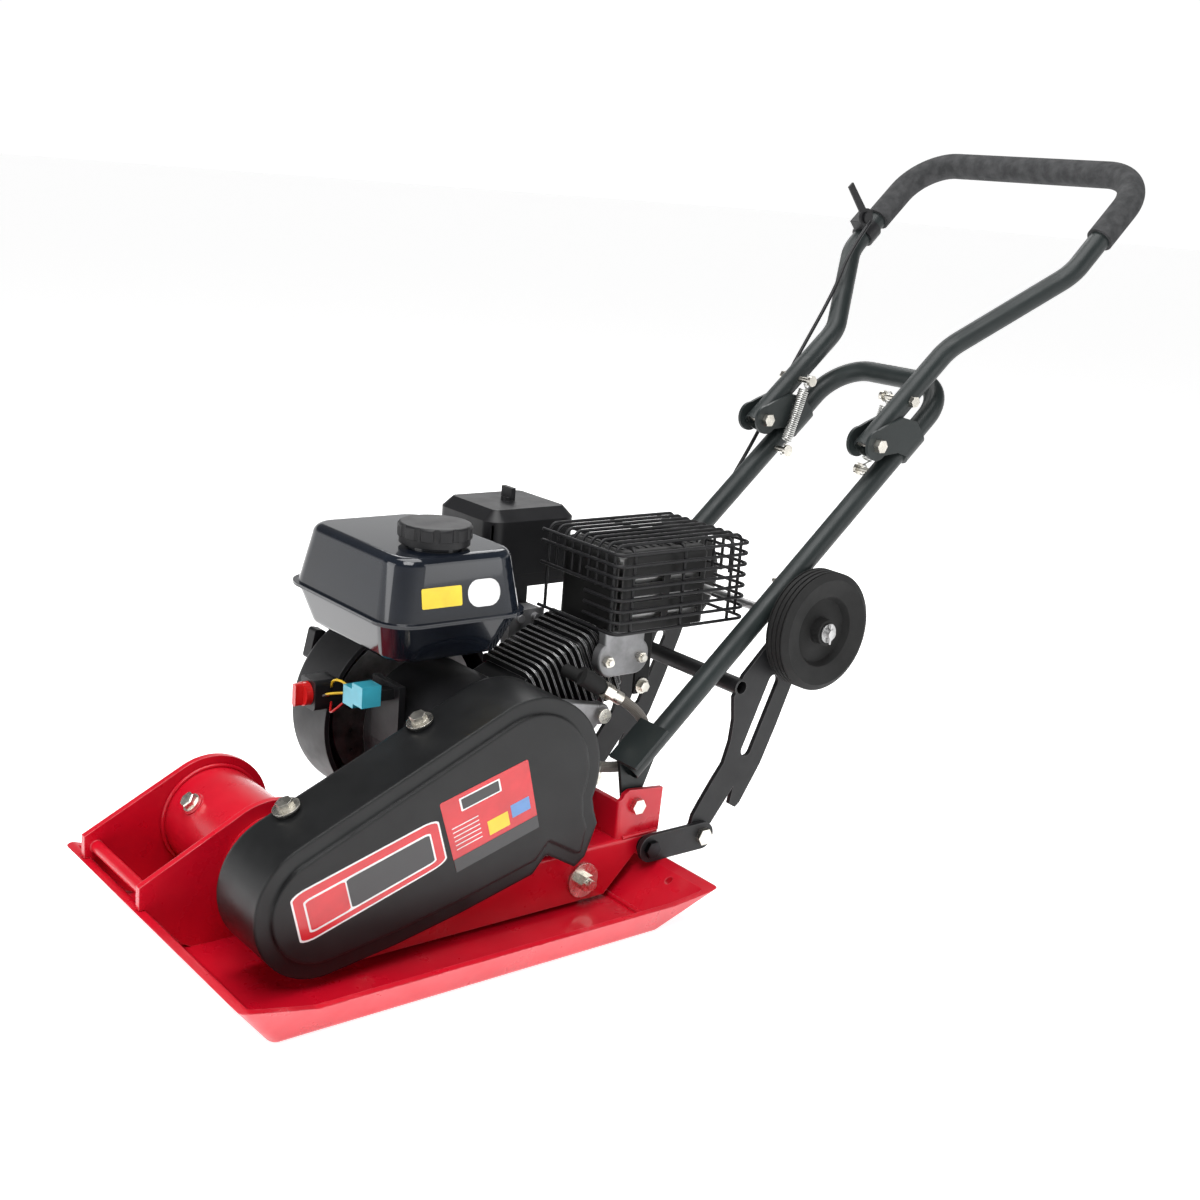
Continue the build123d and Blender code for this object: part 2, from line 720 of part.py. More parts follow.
with BuildPart() as exhaust_nuts:
    for bolt_x in (port_x - 20, port_x + 30):
        hex_y(bolt_x, 283, elbow_y + 13, elbow_y + 19, 12)
        rod_y(bolt_x, 283, elbow_y + 19, elbow_y + 23, 4)

# muffler inside a louvred shield
shield_front = -254
shield_rear = -394
shield_near = 56
shield_far = -58
with BuildPart() as muffler:
    block(shield_rear + 10, shield_front - 10, shield_far + 8, shield_near - 8, 321, 400)
    fillet(muffler.edges().filter_by(Axis.Y), 16)
    block(shield_rear + 14, shield_front - 14, shield_far + 12, shield_near - 12, 337, 384, Mode.SUBTRACT)
finish(muffler, "muffler")

with BuildPart() as muffler_shield:
    block(shield_rear, shield_front, shield_far, shield_near, 319, 414)
    fillet(muffler_shield.edges().filter_by(Axis.Z), 12)
    fillet(muffler_shield.faces().sort_by(Axis.Z)[-1].edges(), 10)
    block(shield_rear + 2, shield_front - 2, shield_far + 2, shield_near - 2, 310, 412, Mode.SUBTRACT)
    for slot in range(10):
        slot_x = shield_rear + 14 + 12 * slot
        block(slot_x, slot_x + 5, shield_far + 16, shield_near - 16, 405, 420, Mode.SUBTRACT)
    for row in range(3):
        for column in range(2):
            louvre_x = shield_rear + 14 + 58 * column
            louvre_z = 332 + 22 * row
            block(louvre_x, louvre_x + 48, shield_near - 5, shield_near + 5, louvre_z, louvre_z + 7,
                  Mode.SUBTRACT)

with BuildPart() as muffler_stay:
    block(port_x - 58, port_x - 36, 20, 24, 226, 318.6)
    rod_y(port_x - 47, 236, 16, 26, 6)
    block(port_x - 58, port_x - 36, 8, 24, 315, 318.6)

with BuildPart() as muffler_stay_bolt:
    hex_y(port_x - 47, 236, 26, 32, 12)
    ring_y(port_x - 47, 236, 24.2, 25.9, 10, 6)

# wire cage round the muffler: hoops at each level, bars over the top
cage_bend = 12
levels = 8
level_gap = (cage_top - 8 - cage_bottom) / (levels - 1)
with BuildPart() as muffler_cage:
    for level in range(levels):
        hoop_z = cage_bottom + level_gap * level
        short = cage_far if level in (0, 4, 6, 7) else 10
        with BuildLine() as hoop:
            FilletPolyline((cage_front, short, hoop_z), (cage_front, cage_near, hoop_z),
                           (cage_rear, cage_near, hoop_z), (cage_rear, short, hoop_z), radius=cage_bend)
        with BuildSketch(Plane(origin=hoop.line @ 0, z_dir=hoop.line % 0)) as hoop_section:
            Circle(wire_r)
        sweep()

bars = 9
bar_gap = (cage_near - 14 - cage_far - 8) / (bars - 1)
lay = 2 * wire_r + wire_touch
with BuildPart() as cage_bars:
    for bar in range(bars):
        bar_y = cage_far + 8 + bar_gap * bar
        drop = cage_bottom if bar in (0, bars - 1) else cage_top - 52
        with BuildLine() as top_bar:
            FilletPolyline((cage_front - lay, bar_y, drop), (cage_front - lay, bar_y, cage_top),
                           (cage_rear + lay, bar_y, cage_top), (cage_rear + lay, bar_y, drop), radius=10)
        with BuildSketch(Plane(origin=top_bar.line @ 0, z_dir=top_bar.line % 0)) as bar_section:
            Circle(wire_r)
        sweep()

with BuildPart() as cage_uprights:
    for step in range(3):
        upright_x = cage_front - 26 - 77 * step
        with BuildLine() as upright:
            FilletPolyline(
                (upright_x, cage_near - lay, cage_bottom - 3),
                (upright_x, cage_near - lay, cage_top - lay),
                (upright_x, cage_far + 2, cage_top - lay),
                radius=9,
            )
        with BuildSketch(Plane(origin=upright.line @ 0, z_dir=upright.line % 0)) as upright_section:
            Circle(wire_r)
        sweep()

# fuel tank in two pressed halves with a seam flange
tank_mid_x = (tank_front + tank_rear) / 2
tank_mid_y = (tank_near + tank_far) / 2
tank_lx = tank_front - tank_rear
tank_ly = tank_near - tank_far
flange_out = 6
tank_seam_t = 2
tank_wall = 3
waist_x = tank_lx - 2 * flange_out
waist_y = tank_ly - 2 * flange_out
roof_x = waist_x - 22
roof_y = waist_y - 26
floor_x = waist_x - 34
floor_y = waist_y - 30
tank_corner = 34
tank_edge = 12
inner_corner = tank_corner - tank_wall
with BuildPart() as tank_upper:
    with BuildSketch(Plane.XY.offset(tank_seam)) as tank_foot:
        with Locations((tank_mid_x, tank_mid_y)):
            RectangleRounded(waist_x, waist_y, tank_corner)
    with BuildSketch(Plane.XY.offset(tank_top)) as tank_roof:
        with Locations((tank_mid_x - 2, tank_mid_y)):
            RectangleRounded(roof_x, roof_y, tank_corner)
    loft()
    fillet(tank_upper.faces().sort_by(Axis.Z)[-1].edges(), tank_edge)
    with BuildSketch(Plane.XY.offset(tank_seam)) as upper_void_foot:
        with Locations((tank_mid_x, tank_mid_y)):
            RectangleRounded(waist_x - 2 * tank_wall, waist_y - 2 * tank_wall, inner_corner)
    with BuildSketch(Plane.XY.offset(tank_top - tank_wall)) as upper_void_roof:
        with Locations((tank_mid_x - 2, tank_mid_y)):
            RectangleRounded(roof_x - 5 * tank_wall, roof_y - 5 * tank_wall, inner_corner - tank_wall)
    loft([upper_void_foot.sketch, upper_void_roof.sketch], mode=Mode.SUBTRACT)
    with BuildSketch(Plane.XY.offset(tank_seam)) as seam_top:
        with Locations((tank_mid_x, tank_mid_y)):
            RectangleRounded(tank_lx, tank_ly, tank_corner + flange_out)
            RectangleRounded(waist_x - 2 * tank_wall, waist_y - 2 * tank_wall, inner_corner,
                             mode=Mode.SUBTRACT)
    extrude(amount=tank_seam_t)
    rod_z(cap_x, cap_y, tank_top - 16, tank_top + 30, 24, Mode.SUBTRACT)

with BuildPart() as tank_lower:
    with BuildSketch(Plane.XY.offset(tank_bottom)) as tank_floor:
        with Locations((tank_mid_x + 2, tank_mid_y)):
            RectangleRounded(floor_x, floor_y, tank_corner)
    with BuildSketch(Plane.XY.offset(tank_seam)) as tank_waist:
        with Locations((tank_mid_x, tank_mid_y)):
            RectangleRounded(waist_x, waist_y, tank_corner)
    loft()
    fillet(tank_lower.faces().sort_by(Axis.Z)[0].edges(), 8)
    with BuildSketch(Plane.XY.offset(tank_seam - tank_seam_t)) as seam_under:
        with Locations((tank_mid_x, tank_mid_y)):
            RectangleRounded(tank_lx, tank_ly, tank_corner + flange_out)
    extrude(amount=tank_seam_t)
    with BuildSketch(Plane.XY.offset(tank_bottom + tank_wall)) as lower_void_floor:
        with Locations((tank_mid_x + 2, tank_mid_y)):
            RectangleRounded(floor_x - 4 * tank_wall, floor_y - 4 * tank_wall, inner_corner - tank_wall)
    with BuildSketch(Plane.XY.offset(tank_seam)) as lower_void_waist:
        with Locations((tank_mid_x, tank_mid_y)):
            RectangleRounded(waist_x - 2 * tank_wall, waist_y - 2 * tank_wall, inner_corner)
    loft([lower_void_floor.sketch, lower_void_waist.sketch], mode=Mode.SUBTRACT)
finish(tank_lower, "tank_lower")

with BuildPart() as filler_neck:
    rod_z(cap_x, cap_y, tank_top - 16, tank_top + 10, 24)
    rod_z(cap_x, cap_y, tank_top, tank_top + 3, 31)
    rod_z(cap_x, cap_y, tank_top - 17, tank_top + 11, 20, Mode.SUBTRACT)

with BuildPart() as fuel_cap:
    rod_z(cap_x, cap_y, tank_top + 4, tank_top + 12, cap_r - 2)
    rod_z(cap_x, cap_y, tank_top + 12, tank_top + 27, cap_r)
    fillet(fuel_cap.faces().sort_by(Axis.Z)[-1].edges(), 4)
    with Locations((cap_x, cap_y, tank_top + 12)):
        with PolarLocations(cap_r + 2.5, 12):
            Cylinder(5, 24, align=(Align.CENTER, Align.CENTER, Align.MIN), mode=Mode.SUBTRACT)
    rod_z(cap_x, cap_y, tank_top, tank_top + 14, 24 + clear, Mode.SUBTRACT)
    rod_z(cap_x, cap_y, tank_top + 6, tank_top + 14, 18)
finish(fuel_cap, "fuel_cap")

# fan housing, recoil starter and its grip on the far side
fan_near = -118
fan_far = -204
fan_crown = tank_bottom - 6
with BuildPart() as fan_housing:
    with BuildSketch(Plane.XZ.offset(-fan_near)) as fan_outline:
        with Locations((crank_x, crank_z)):
            Circle(fan_r)
    extrude(amount=fan_near - fan_far)
    fillet(fan_housing.edges().filter_by(GeomType.CIRCLE).sort_by(Axis.Y)[0], 12)
    block(crank_x - 200, crank_x + 200, fan_far - 5, fan_near + 5, fan_crown, fan_crown + 90, Mode.SUBTRACT)
    block(crank_x - 200, crank_x + 200, fan_far - 5, fan_near + 5, 0, deck_top + 2, Mode.SUBTRACT)
    rod_y(crank_x, crank_z, fan_near - 60, fan_near + 1, fan_r - 6, Mode.SUBTRACT)
    rod_y(crank_x, crank_z, fan_far - 1, fan_near, 60, Mode.SUBTRACT)
finish(fan_housing, "fan_housing")

with BuildPart() as flywheel:
    rod_y(crank_x, crank_z, fan_near - 52, fan_near - 16, fan_r - 20)
    rod_y(crank_x, crank_z, fan_near - 60, fan_near, shaft_end_r, Mode.SUBTRACT)

recoil_r = 84
with BuildPart() as recoil_cover:
    rod_y(crank_x, crank_z, fan_far - 30, fan_far, recoil_r)
    fillet(recoil_cover.edges().filter_by(GeomType.CIRCLE).sort_by(Axis.Y)[0], 10)
    for slot in range(12):
        swing = math.radians(30 * slot)
        rod_y(crank_x + 58 * math.cos(swing), crank_z + 58 * math.sin(swing), fan_far - 31, fan_far - 20, 6,
              Mode.SUBTRACT)
    rod_y(crank_x, crank_z, fan_far - 20, fan_far + 1, recoil_r - 8, Mode.SUBTRACT)
finish(recoil_cover, "recoil_cover")

grip_x = crank_x + 62
grip_z = crank_z + 66
pull_turn = 78
with BuildPart() as starter_grip:
    with Locations(Location((grip_x, fan_far - 14, grip_z), (0, pull_turn, 0))):
        Cylinder(6, 10, align=(Align.CENTER, Align.CENTER, Align.MIN))
    with Locations(Location((grip_x + 17, fan_far - 14, grip_z + 3.6), (0, pull_turn, 0))):
        Box(38, 17, 15)
    fillet(starter_grip.edges().filter_by(Axis.Y), 4)
finish(starter_grip, "starter_grip")

# carburettor and air cleaner on the far side of the head
carb_x = -226
carb_far = -104
carb_near = -80.5
carb_floor = 270
carb_roof = 316
carb_mid_y = (carb_far + carb_near) / 2
with BuildPart() as carburettor:
    block(carb_x - 20, carb_x + 20, carb_far, carb_near, carb_floor, carb_roof)
    block(carb_x - 26, carb_x + 26, carb_near - 2, carb_near, carb_floor + 4, carb_roof)
    rod_z(carb_x, carb_mid_y, carb_floor - 28, carb_floor, 13)
    rod_z(carb_x, carb_mid_y, carb_floor - 33, carb_floor - 28, 6)
    rod_y(carb_x + 12, carb_roof - 10, carb_near - 2, -74, 5)
    rod_y(carb_x - 12, carb_roof - 10, carb_near - 2, -74, 5)
finish(carburettor, "carburettor")

cleaner_front = -190
cleaner_rear = -322
cleaner_near = -115
cleaner_far = -238
cleaner_base = 334
cleaner_top = 430
with BuildPart() as air_cleaner_base:
    block(cleaner_rear + 4, cleaner_front - 4, cleaner_far + 4, cleaner_near, cleaner_base, cleaner_base + 16)
    block(carb_x - 24, carb_x + 20, cleaner_near - 40, carb_far, carb_floor + 10, carb_roof - 2)
    block(carb_x - 24, carb_x + 20, cleaner_near - 40, cleaner_near, carb_roof - 4, cleaner_base + 2)
finish(air_cleaner_base, "air_cleaner_base")

knob_x = (cleaner_front + cleaner_rear) / 2
knob_y = (cleaner_near + cleaner_far) / 2
with BuildPart() as air_cleaner_cover:
    block(cleaner_rear, cleaner_front, cleaner_far, cleaner_near, cleaner_base + 16, cleaner_top)
    fillet(air_cleaner_cover.edges().filter_by(Axis.Z), 20)
    chamfer(air_cleaner_cover.faces().sort_by(Axis.Z)[-1].edges(), 13)
    block(cleaner_rear + 5, cleaner_front - 5, cleaner_far + 5, cleaner_near - 5,
          cleaner_base + 15, cleaner_top - 17, Mode.SUBTRACT)
    rod_z(knob_x, knob_y, cleaner_top - 1, cleaner_top + 5, 9)
    block(knob_x - 3, knob_x + 3, knob_y - 11, knob_y + 11, cleaner_top + 4, cleaner_top + 17)
finish(air_cleaner_cover, "air_cleaner_cover")

# engine switch and wiring in front of the fan housing
switch_x = crank_x + fan_r
switch_y = fan_near - 16
switch_z = crank_z + 40
with BuildPart() as switch_box:
    block(switch_x - 22, switch_x + 14, switch_y - 17, switch_y + 17, switch_z - 18, switch_z + 18)
    fillet(switch_box.edges().filter_by(Axis.X), 5)
    add(fan_housing.part, mode=Mode.SUBTRACT)

with BuildPart() as engine_switch:
    with BuildSketch(Plane.YZ.offset(switch_x + 14 + clear)) as knob_disc:
        with Locations((switch_y, switch_z)):
            Circle(14)
    extrude(amount=8)
    with BuildSketch(Plane.YZ.offset(switch_x + 22)) as knob_bar:
        with Locations((switch_y, switch_z)):
            RectangleRounded(8, 27, 3)
    extrude(amount=10)
finish(engine_switch, "engine_switch")

plug_x = crank_x + 88
with BuildPart() as wiring_connectors:
    block(plug_x + 8, plug_x + 34, -72, -50, 236, 258)
    block(plug_x + 14, plug_x + 38, -46, -24, 244, 268)
finish(wiring_connectors, "wiring_connectors")

with BuildPart() as connector_bracket:
    block(crank_x + 74, crank_x + 82, -76, -18, 190, 264)
    add(crankcase.part, mode=Mode.SUBTRACT)
    block(crank_x + 82, plug_x + 8, -70, -52, 240, 252)
    block(crank_x + 82, plug_x + 14, -44, -28, 248, 260)

# three wires from the connectors to the switch, held at both ends
wire_routes = [
    [
        (plug_x + 21, -74, 250), (plug_x + 30, -88, 258),
        (plug_x + 30, -104, 252), (switch_x - 6, switch_y + 19, 240),
    ],
    [
        (plug_x + 21, -74, 242), (plug_x + 34, -84, 226),
        (plug_x + 34, -100, 214), (switch_x - 6, switch_y + 19, 222),
    ],
    [
        (plug_x + 26, -74, 246), (plug_x + 44, -86, 244),
        (plug_x + 44, -102, 236), (switch_x - 2, switch_y + 19, 231),
    ],
]


def held_route(points, start_room=0.45):
    """Arc radii for a held cord, as large as the runs beside each corner allow."""
    radii = []
    for index in range(1, len(points) - 1):
        before = Vector(*points[index]) - Vector(*points[index - 1])
        after = Vector(*points[index + 1]) - Vector(*points[index])
        turn = math.radians(before.get_angle(after))
        radii.append(start_room * min(before.length, after.length) / math.tan(turn / 2))
    return radii


with BuildPart() as switch_wires:
    for route in wire_routes:
        with BuildLine() as wire_line:
            FilletPolyline(*route, radius=held_route(route))
        with BuildSketch(Plane(origin=wire_line.line @ 0, z_dir=wire_line.line % 0)) as wire_section:
            Circle(1.4)
        sweep()
finish(switch_wires, "switch_wires")

# shielded ignition lead from the plug cap round the cylinder to the coil clip
boot_dir = Vector(-0.84, 0.12, -0.51).normalized()
boot_start = Vector(-204, 60, 276)
boot_len = 30
boot_plane = Plane(origin=boot_start, z_dir=boot_dir)
with BuildPart() as plug_cap:
    with BuildSketch(boot_plane) as cap_section:
        Circle(11)
    extrude(amount=boot_len)
    with BuildSketch(boot_plane.offset(boot_len)) as cap_neck:
        Circle(7.5)
    extrude(amount=6)
    rod_y(boot_start.X - 2, boot_start.Z - 3, fin_half_y - 22, boot_start.Y, 8)
finish(plug_cap, "plug_cap")

with BuildPart() as lead_fitting:
    with BuildSketch(boot_plane.offset(boot_len + 6)) as fitting_hex:
        RegularPolygon(8.5, 6, major_radius=False)
    extrude(amount=14)
    with BuildSketch(boot_plane.offset(boot_len + 20)) as fitting_ferrule:
        Circle(8)
    extrude(amount=15)

lead_r = 6.5
lead_start = boot_start + boot_dir * (boot_len + 35)
lead_route = [
    tuple(lead_start),
    tuple(lead_start + boot_dir * 20),
    (-306, 64, 204),
    (-311, 63, 174),
    (-290, 61, 154),
    (-262, 61, 153),
    (-236, 62, 160),
]
with BuildPart() as ignition_lead:
    with BuildLine() as lead_line:
        FilletPolyline(*lead_route, radius=held_route(lead_route))
    with BuildSketch(Plane(origin=lead_line.line @ 0, z_dir=lead_line.line % 0)) as lead_section:
        Circle(lead_r)
    sweep()
print("lead radii", [round(value, 1) for value in held_route(lead_route)])
print("lead length", round(sum(edge.length for edge in lead_line.edges()), 1))
finish(ignition_lead, "ignition_lead")

lead_end_dir = (Vector(*lead_route[-1]) - Vector(*lead_route[-2])).normalized()
with BuildPart() as lead_clip:
    with BuildSketch(Plane(origin=lead_route[-1], z_dir=lead_end_dir)) as clip_section:
        Circle(9)
    extrude(amount=26)
    block(-214, crank_x - 70, cover_near, cover_near + 4, 154, 170)
    add(side_cover.part, mode=Mode.SUBTRACT)

# ================================================================ BELT GUARD
guard_rear_x = crank_x
guard_rear_z = crank_z


def guard_outline(inset):
    """The outline of the belt guard drawn in by a wall."""
    front_r = guard_front_r - inset
    rear_r = guard_rear_r - inset
    span = math.hypot(guard_front_x - guard_rear_x, guard_front_z - guard_rear_z)
    lean = math.degrees(math.atan2(guard_front_z - guard_rear_z, guard_front_x - guard_rear_x))
    tilt = math.degrees(math.asin((rear_r - front_r) / span))
    with BuildLine() as guard_line:
        nose = CenterArc((guard_front_x, guard_front_z), front_r, lean + 90 - tilt, -(lean + 90 - tilt) - 96)
        tail = CenterArc((guard_rear_x, guard_rear_z), rear_r, 202, (lean + 90 - tilt) - 202)
        Polyline(
            nose @ 1,
            (guard_front_x - 86, 36 + inset),
            (guard_front_x - 170, 54 + inset),
            (guard_front_x - 262, 78 + inset),
            (guard_rear_x - 28, 98 + inset),
            (guard_rear_x - 46, 88 + inset),
            (guard_rear_x - 70, 74 + inset),
            (guard_rear_x - 84 + inset / 2, 84 + inset / 2),
            (guard_rear_x - 98 + inset, 122),
            (guard_rear_x - 92 + inset, 138),
            tail @ 0,
        )
        Line(tail @ 1, nose @ 0)
    return make_face(guard_line.edges(), mode=Mode.PRIVATE)


guard_ledge = 18
guard_step = 4
guard_shoulder_y = guard_face_y - guard_step
with BuildPart() as belt_guard:
    with BuildSketch(Plane.XZ.offset(-guard_shoulder_y)) as guard_shape:
        add(guard_outline(0))
    extrude(amount=guard_shoulder_y - guard_rim_y)
    with BuildSketch(Plane.XZ.offset(-guard_face_y)) as raised_shape:
        add(guard_outline(guard_ledge))
    extrude(amount=guard_step)
    with BuildSketch(Plane.XZ.offset(-guard_shoulder_y + guard_wall)) as guard_hollow:
        add(guard_outline(guard_wall))
    extrude(amount=guard_shoulder_y - guard_rim_y, mode=Mode.SUBTRACT)
    with BuildSketch(Plane.XZ.offset(-guard_face_y + guard_wall)) as raised_hollow:
        add(guard_outline(guard_ledge + guard_wall))
    extrude(amount=guard_step + 1, mode=Mode.SUBTRACT)
    # the lower wall stops outside the deck skirt, notched for the front mount nut and the cover arm
    block(deck_rear, arm_front + 22, guard_rim_y - 1, deck_half + 1.5, 0, deck_top + 12, Mode.SUBTRACT)
    block(mount_front_x - washer_r - 4, mount_front_x + washer_r + 4, guard_rim_y - 1, bolt_tip + 0.5, 0,
          mount_z + 24, Mode.SUBTRACT)
    block(lug_x, crank_x - 15, guard_rim_y - 1, cover_near + 5, deck_top, crank_z + 66, Mode.SUBTRACT)

# the straight run of the guard's top wall between its two rounds
guard_span = math.hypot(guard_front_x - guard_rear_x, guard_front_z - guard_rear_z)
wall_turn = (math.atan2(guard_front_z - guard_rear_z, guard_front_x - guard_rear_x) + math.pi / 2
             - math.asin((guard_rear_r - guard_front_r) / guard_span))
wall_foot_x = guard_front_x + guard_front_r * math.cos(wall_turn)
wall_foot_z = guard_front_z + guard_front_r * math.sin(wall_turn)


def top_wall(x, depth=0.0):
    """Height of the guard's top wall at x, a depth below its outer skin."""
    return wall_foot_z + (wall_foot_x - x) / math.tan(wall_turn) - depth / math.sin(wall_turn)


def wall_plane(x, y):
    """A plane lying on the guard's top wall at x, y."""
    outward = (math.cos(wall_turn), 0, math.sin(wall_turn))
    return Plane(origin=(x, y, top_wall(x)), x_dir=(0, 1, 0), z_dir=outward)


guard_bolt_y = 58
front_bolt_x = 165
rear_bolt_x = 9
with belt_guard:
    for bolt_x in (front_bolt_x, rear_bolt_x):
        with BuildSketch(wall_plane(bolt_x, guard_bolt_y).offset(-guard_wall - 2)) as guard_hole:
            Circle(handle_bolt_r)
        extrude(amount=guard_wall + 4, mode=Mode.SUBTRACT)
finish(belt_guard, "belt_guard")

stay_t = 3
stud_x = crank_x + 75 * math.cos(math.radians(68))
stud_z = crank_z + 75 * math.sin(math.radians(68))
pad_t = 4
with BuildPart() as guard_stays:
    for bolt_x in (front_bolt_x, rear_bolt_x):
        with BuildSketch(wall_plane(bolt_x, guard_bolt_y).offset(-guard_wall - stay_t)) as tab:
            Rectangle(26, 26)
            Circle(handle_bolt_r, mode=Mode.SUBTRACT)
        extrude(amount=stay_t)
    with BuildSketch(Plane.XZ.offset(-guard_bolt_y - 13)) as rear_strap:
        with BuildLine() as rear_strap_line:
            Polyline(
                (stud_x - 4, stud_z + 9),
                (stud_x - 4, stud_z - 9),
                (-6, 230),
                (24, 222),
                (22, top_wall(22, guard_wall + stay_t)),
                (-4, top_wall(-4, guard_wall + stay_t)),
                close=True,
            )
        make_face()
        with Locations((stud_x, stud_z)):
            Circle(10)
            Circle(4, mode=Mode.SUBTRACT)
    extrude(amount=stay_t)
    with BuildSketch(Plane.XZ.offset(-82)) as front_strap:
        with BuildLine() as front_strap_line:
            Polyline(
                (90, deck_top),
                (112, deck_top),
                (176, top_wall(176, guard_wall + stay_t + 10)),
                (176, top_wall(176, guard_wall)),
                (153, top_wall(153, guard_wall)),
                (94, 104),
                close=True,
            )
        make_face()
    extrude(amount=stay_t)
    with BuildSketch(wall_plane(front_bolt_x, 74.5).offset(-guard_wall - stay_t)) as front_tab:
        Rectangle(10, 22)
    extrude(amount=stay_t)
finish(guard_stays, "guard_stays")

with BuildPart() as guard_pads:
    for bolt_x in (front_bolt_x, rear_bolt_x):
        with BuildSketch(wall_plane(bolt_x, guard_bolt_y)) as pad:
            Circle(13)
            Circle(handle_bolt_r, mode=Mode.SUBTRACT)
        extrude(amount=pad_t)

with BuildPart() as guard_bolts:
    for bolt_x in (front_bolt_x, rear_bolt_x):
        seat_plane = wall_plane(bolt_x, guard_bolt_y)
        with BuildSketch(seat_plane.offset(pad_t)) as bolt_washer:
            Circle(15)
        extrude(amount=2)
        with BuildSketch(seat_plane.offset(pad_t + 2)) as bolt_hex:
            RegularPolygon(8, 6, major_radius=False)
        extrude(amount=7)
        with BuildSketch(seat_plane.offset(-guard_wall - stay_t - 7)) as bolt_nut:
            RegularPolygon(7, 6, major_radius=False)
        extrude(amount=7)
        with BuildSketch(seat_plane.offset(-guard_wall - stay_t - 7)) as bolt_shank:
            Circle(handle_bolt_r)
        extrude(amount=guard_wall + stay_t + 7 + pad_t)
    hex_y(stud_x, stud_z, guard_bolt_y + 13, guard_bolt_y + 19, 12)
    rod_y(stud_x, stud_z, cover_near + 6, guard_bolt_y + 13, 4)

# ==================================================================== HANDLE
tube_r_out = tube_od / 2
tube_r_in = tube_id / 2


def leg_plane(offset_s, y):
    """A plane square to a lower handle leg at a distance along it."""
    x, z = along(offset_s)
    c = math.cos(math.radians(leg_angle))
    s = math.sin(math.radians(leg_angle))
    return Plane(origin=(x, y, z), x_dir=(0, 1, 0), z_dir=(-c, 0, s))


def at(offset_s, offset_n, y):
    """A point in space given along and square to the handle legs, with its y."""
    x, z = along(offset_s, offset_n)
    return x, y, z


def tube_path(points, bend):
    """A bent tube path through the given corners."""
    return FilletPolyline(*points, radius=bend)


low_points = [
    at(leg_start, 0, leg_y),
    at(leg_length, 0, leg_y),
    at(leg_length, 0, -leg_y),
    at(leg_start, 0, -leg_y),
]
yoke_t = 5
yoke_near = 92
yoke_long = 60
with BuildPart() as lower_handle:
    with BuildLine() as low_path:
        tube_path(low_points, crossbar_r)
    with BuildSketch(Plane(origin=low_path.line @ 0, z_dir=low_path.line % 0)) as low_section:
        Circle(tube_r_out)
        Circle(tube_r_in, mode=Mode.SUBTRACT)
    sweep()
    for side in (1, -1):
        with BuildSketch(Plane.XZ.offset(-max(side * yoke_near, side * (yoke_near - yoke_t)))) as yoke:
            with BuildLine() as yoke_line:
                Polyline(
                    along(-16, -leg_offset),
                    along(leg_start, tube_r_out),
                    along(leg_start + yoke_long, tube_r_out),
                    along(leg_start + yoke_long, -tube_r_out),
                    along(16, -leg_offset),
                    close=True,
                )
            make_face()
            with Locations((pivot_x, pivot_z)):
                Circle(16)
        extrude(amount=yoke_t)
        with BuildSketch(leg_plane(leg_start, side * leg_y)) as yoke_web:
            with Locations((0, -tube_r_out - 2)):
                Rectangle(48, 4)
        extrude(amount=yoke_long)
        rod_y(pivot_x, pivot_z, min(side * yoke_near, side * (yoke_near - yoke_t)) - 1,
              max(side * yoke_near, side * (yoke_near - yoke_t)) + 1, handle_bolt_r + bore_gap, Mode.SUBTRACT)
        with BuildSketch(leg_plane(leg_start - 1, side * leg_y)) as leg_bore:
            Circle(tube_r_in)
        extrude(amount=yoke_long + 4, mode=Mode.SUBTRACT)
finish(lower_handle, "lower_handle")

with BuildPart() as pivot_bolts:
    for side in (1, -1):
        inner = yoke_near - yoke_t - clear
        rod_y(pivot_x, pivot_z, *sorted([side * inner, side * cheek_y]), handle_bolt_r)
        hex_y(pivot_x, pivot_z, *sorted([side * cheek_y, side * (cheek_y + 7)]), 17)
        hex_y(pivot_x, pivot_z, *sorted([side * inner, side * (inner - 8)]), 17)

# saddles under the lower legs, with ears reaching up to the fold bolts
saddle_start = 556
saddle_end = 594
ear_t = 4
ear_in = tube_r_out + clear
ear_r = 19
with BuildPart() as hinge_saddles:
    for side in (1, -1):
        with BuildSketch(leg_plane(saddle_start, side * leg_y)) as wrap:
            Circle(tube_r_out + ear_t)
            Circle(tube_r_out, mode=Mode.SUBTRACT)
            with Locations((0, -tube_r_out)):
                Rectangle(2 * ear_in, 2 * tube_r_out, mode=Mode.SUBTRACT)
        extrude(amount=saddle_end - saddle_start)
        for ear in (ear_in, -ear_in - ear_t):
            with BuildSketch(Plane.XZ.offset(-side * leg_y - ear - ear_t)) as ear_shape:
                with BuildLine() as ear_line:
                    Polyline(
                        along(saddle_start, 0),
                        along(saddle_end, 0),
                        along(saddle_end, 24),
                        along(saddle_end - 16, 46),
                        along(saddle_start - 6, 58),
                        along(fold_along, fold_offset + ear_r),
                        along(fold_along - ear_r, fold_offset),
                        along(fold_along + 2, fold_offset - ear_r),
                        along(fold_along + 22, 14),
                        close=True,
                    )
                make_face()
                with Locations((fold_x, fold_z)):
                    Circle(ear_r)
            extrude(amount=ear_t)
    rod_y(fold_x, fold_z, -leg_y - 30, leg_y + 30, handle_bolt_r, Mode.SUBTRACT)
finish(hinge_saddles, "hinge_saddles")

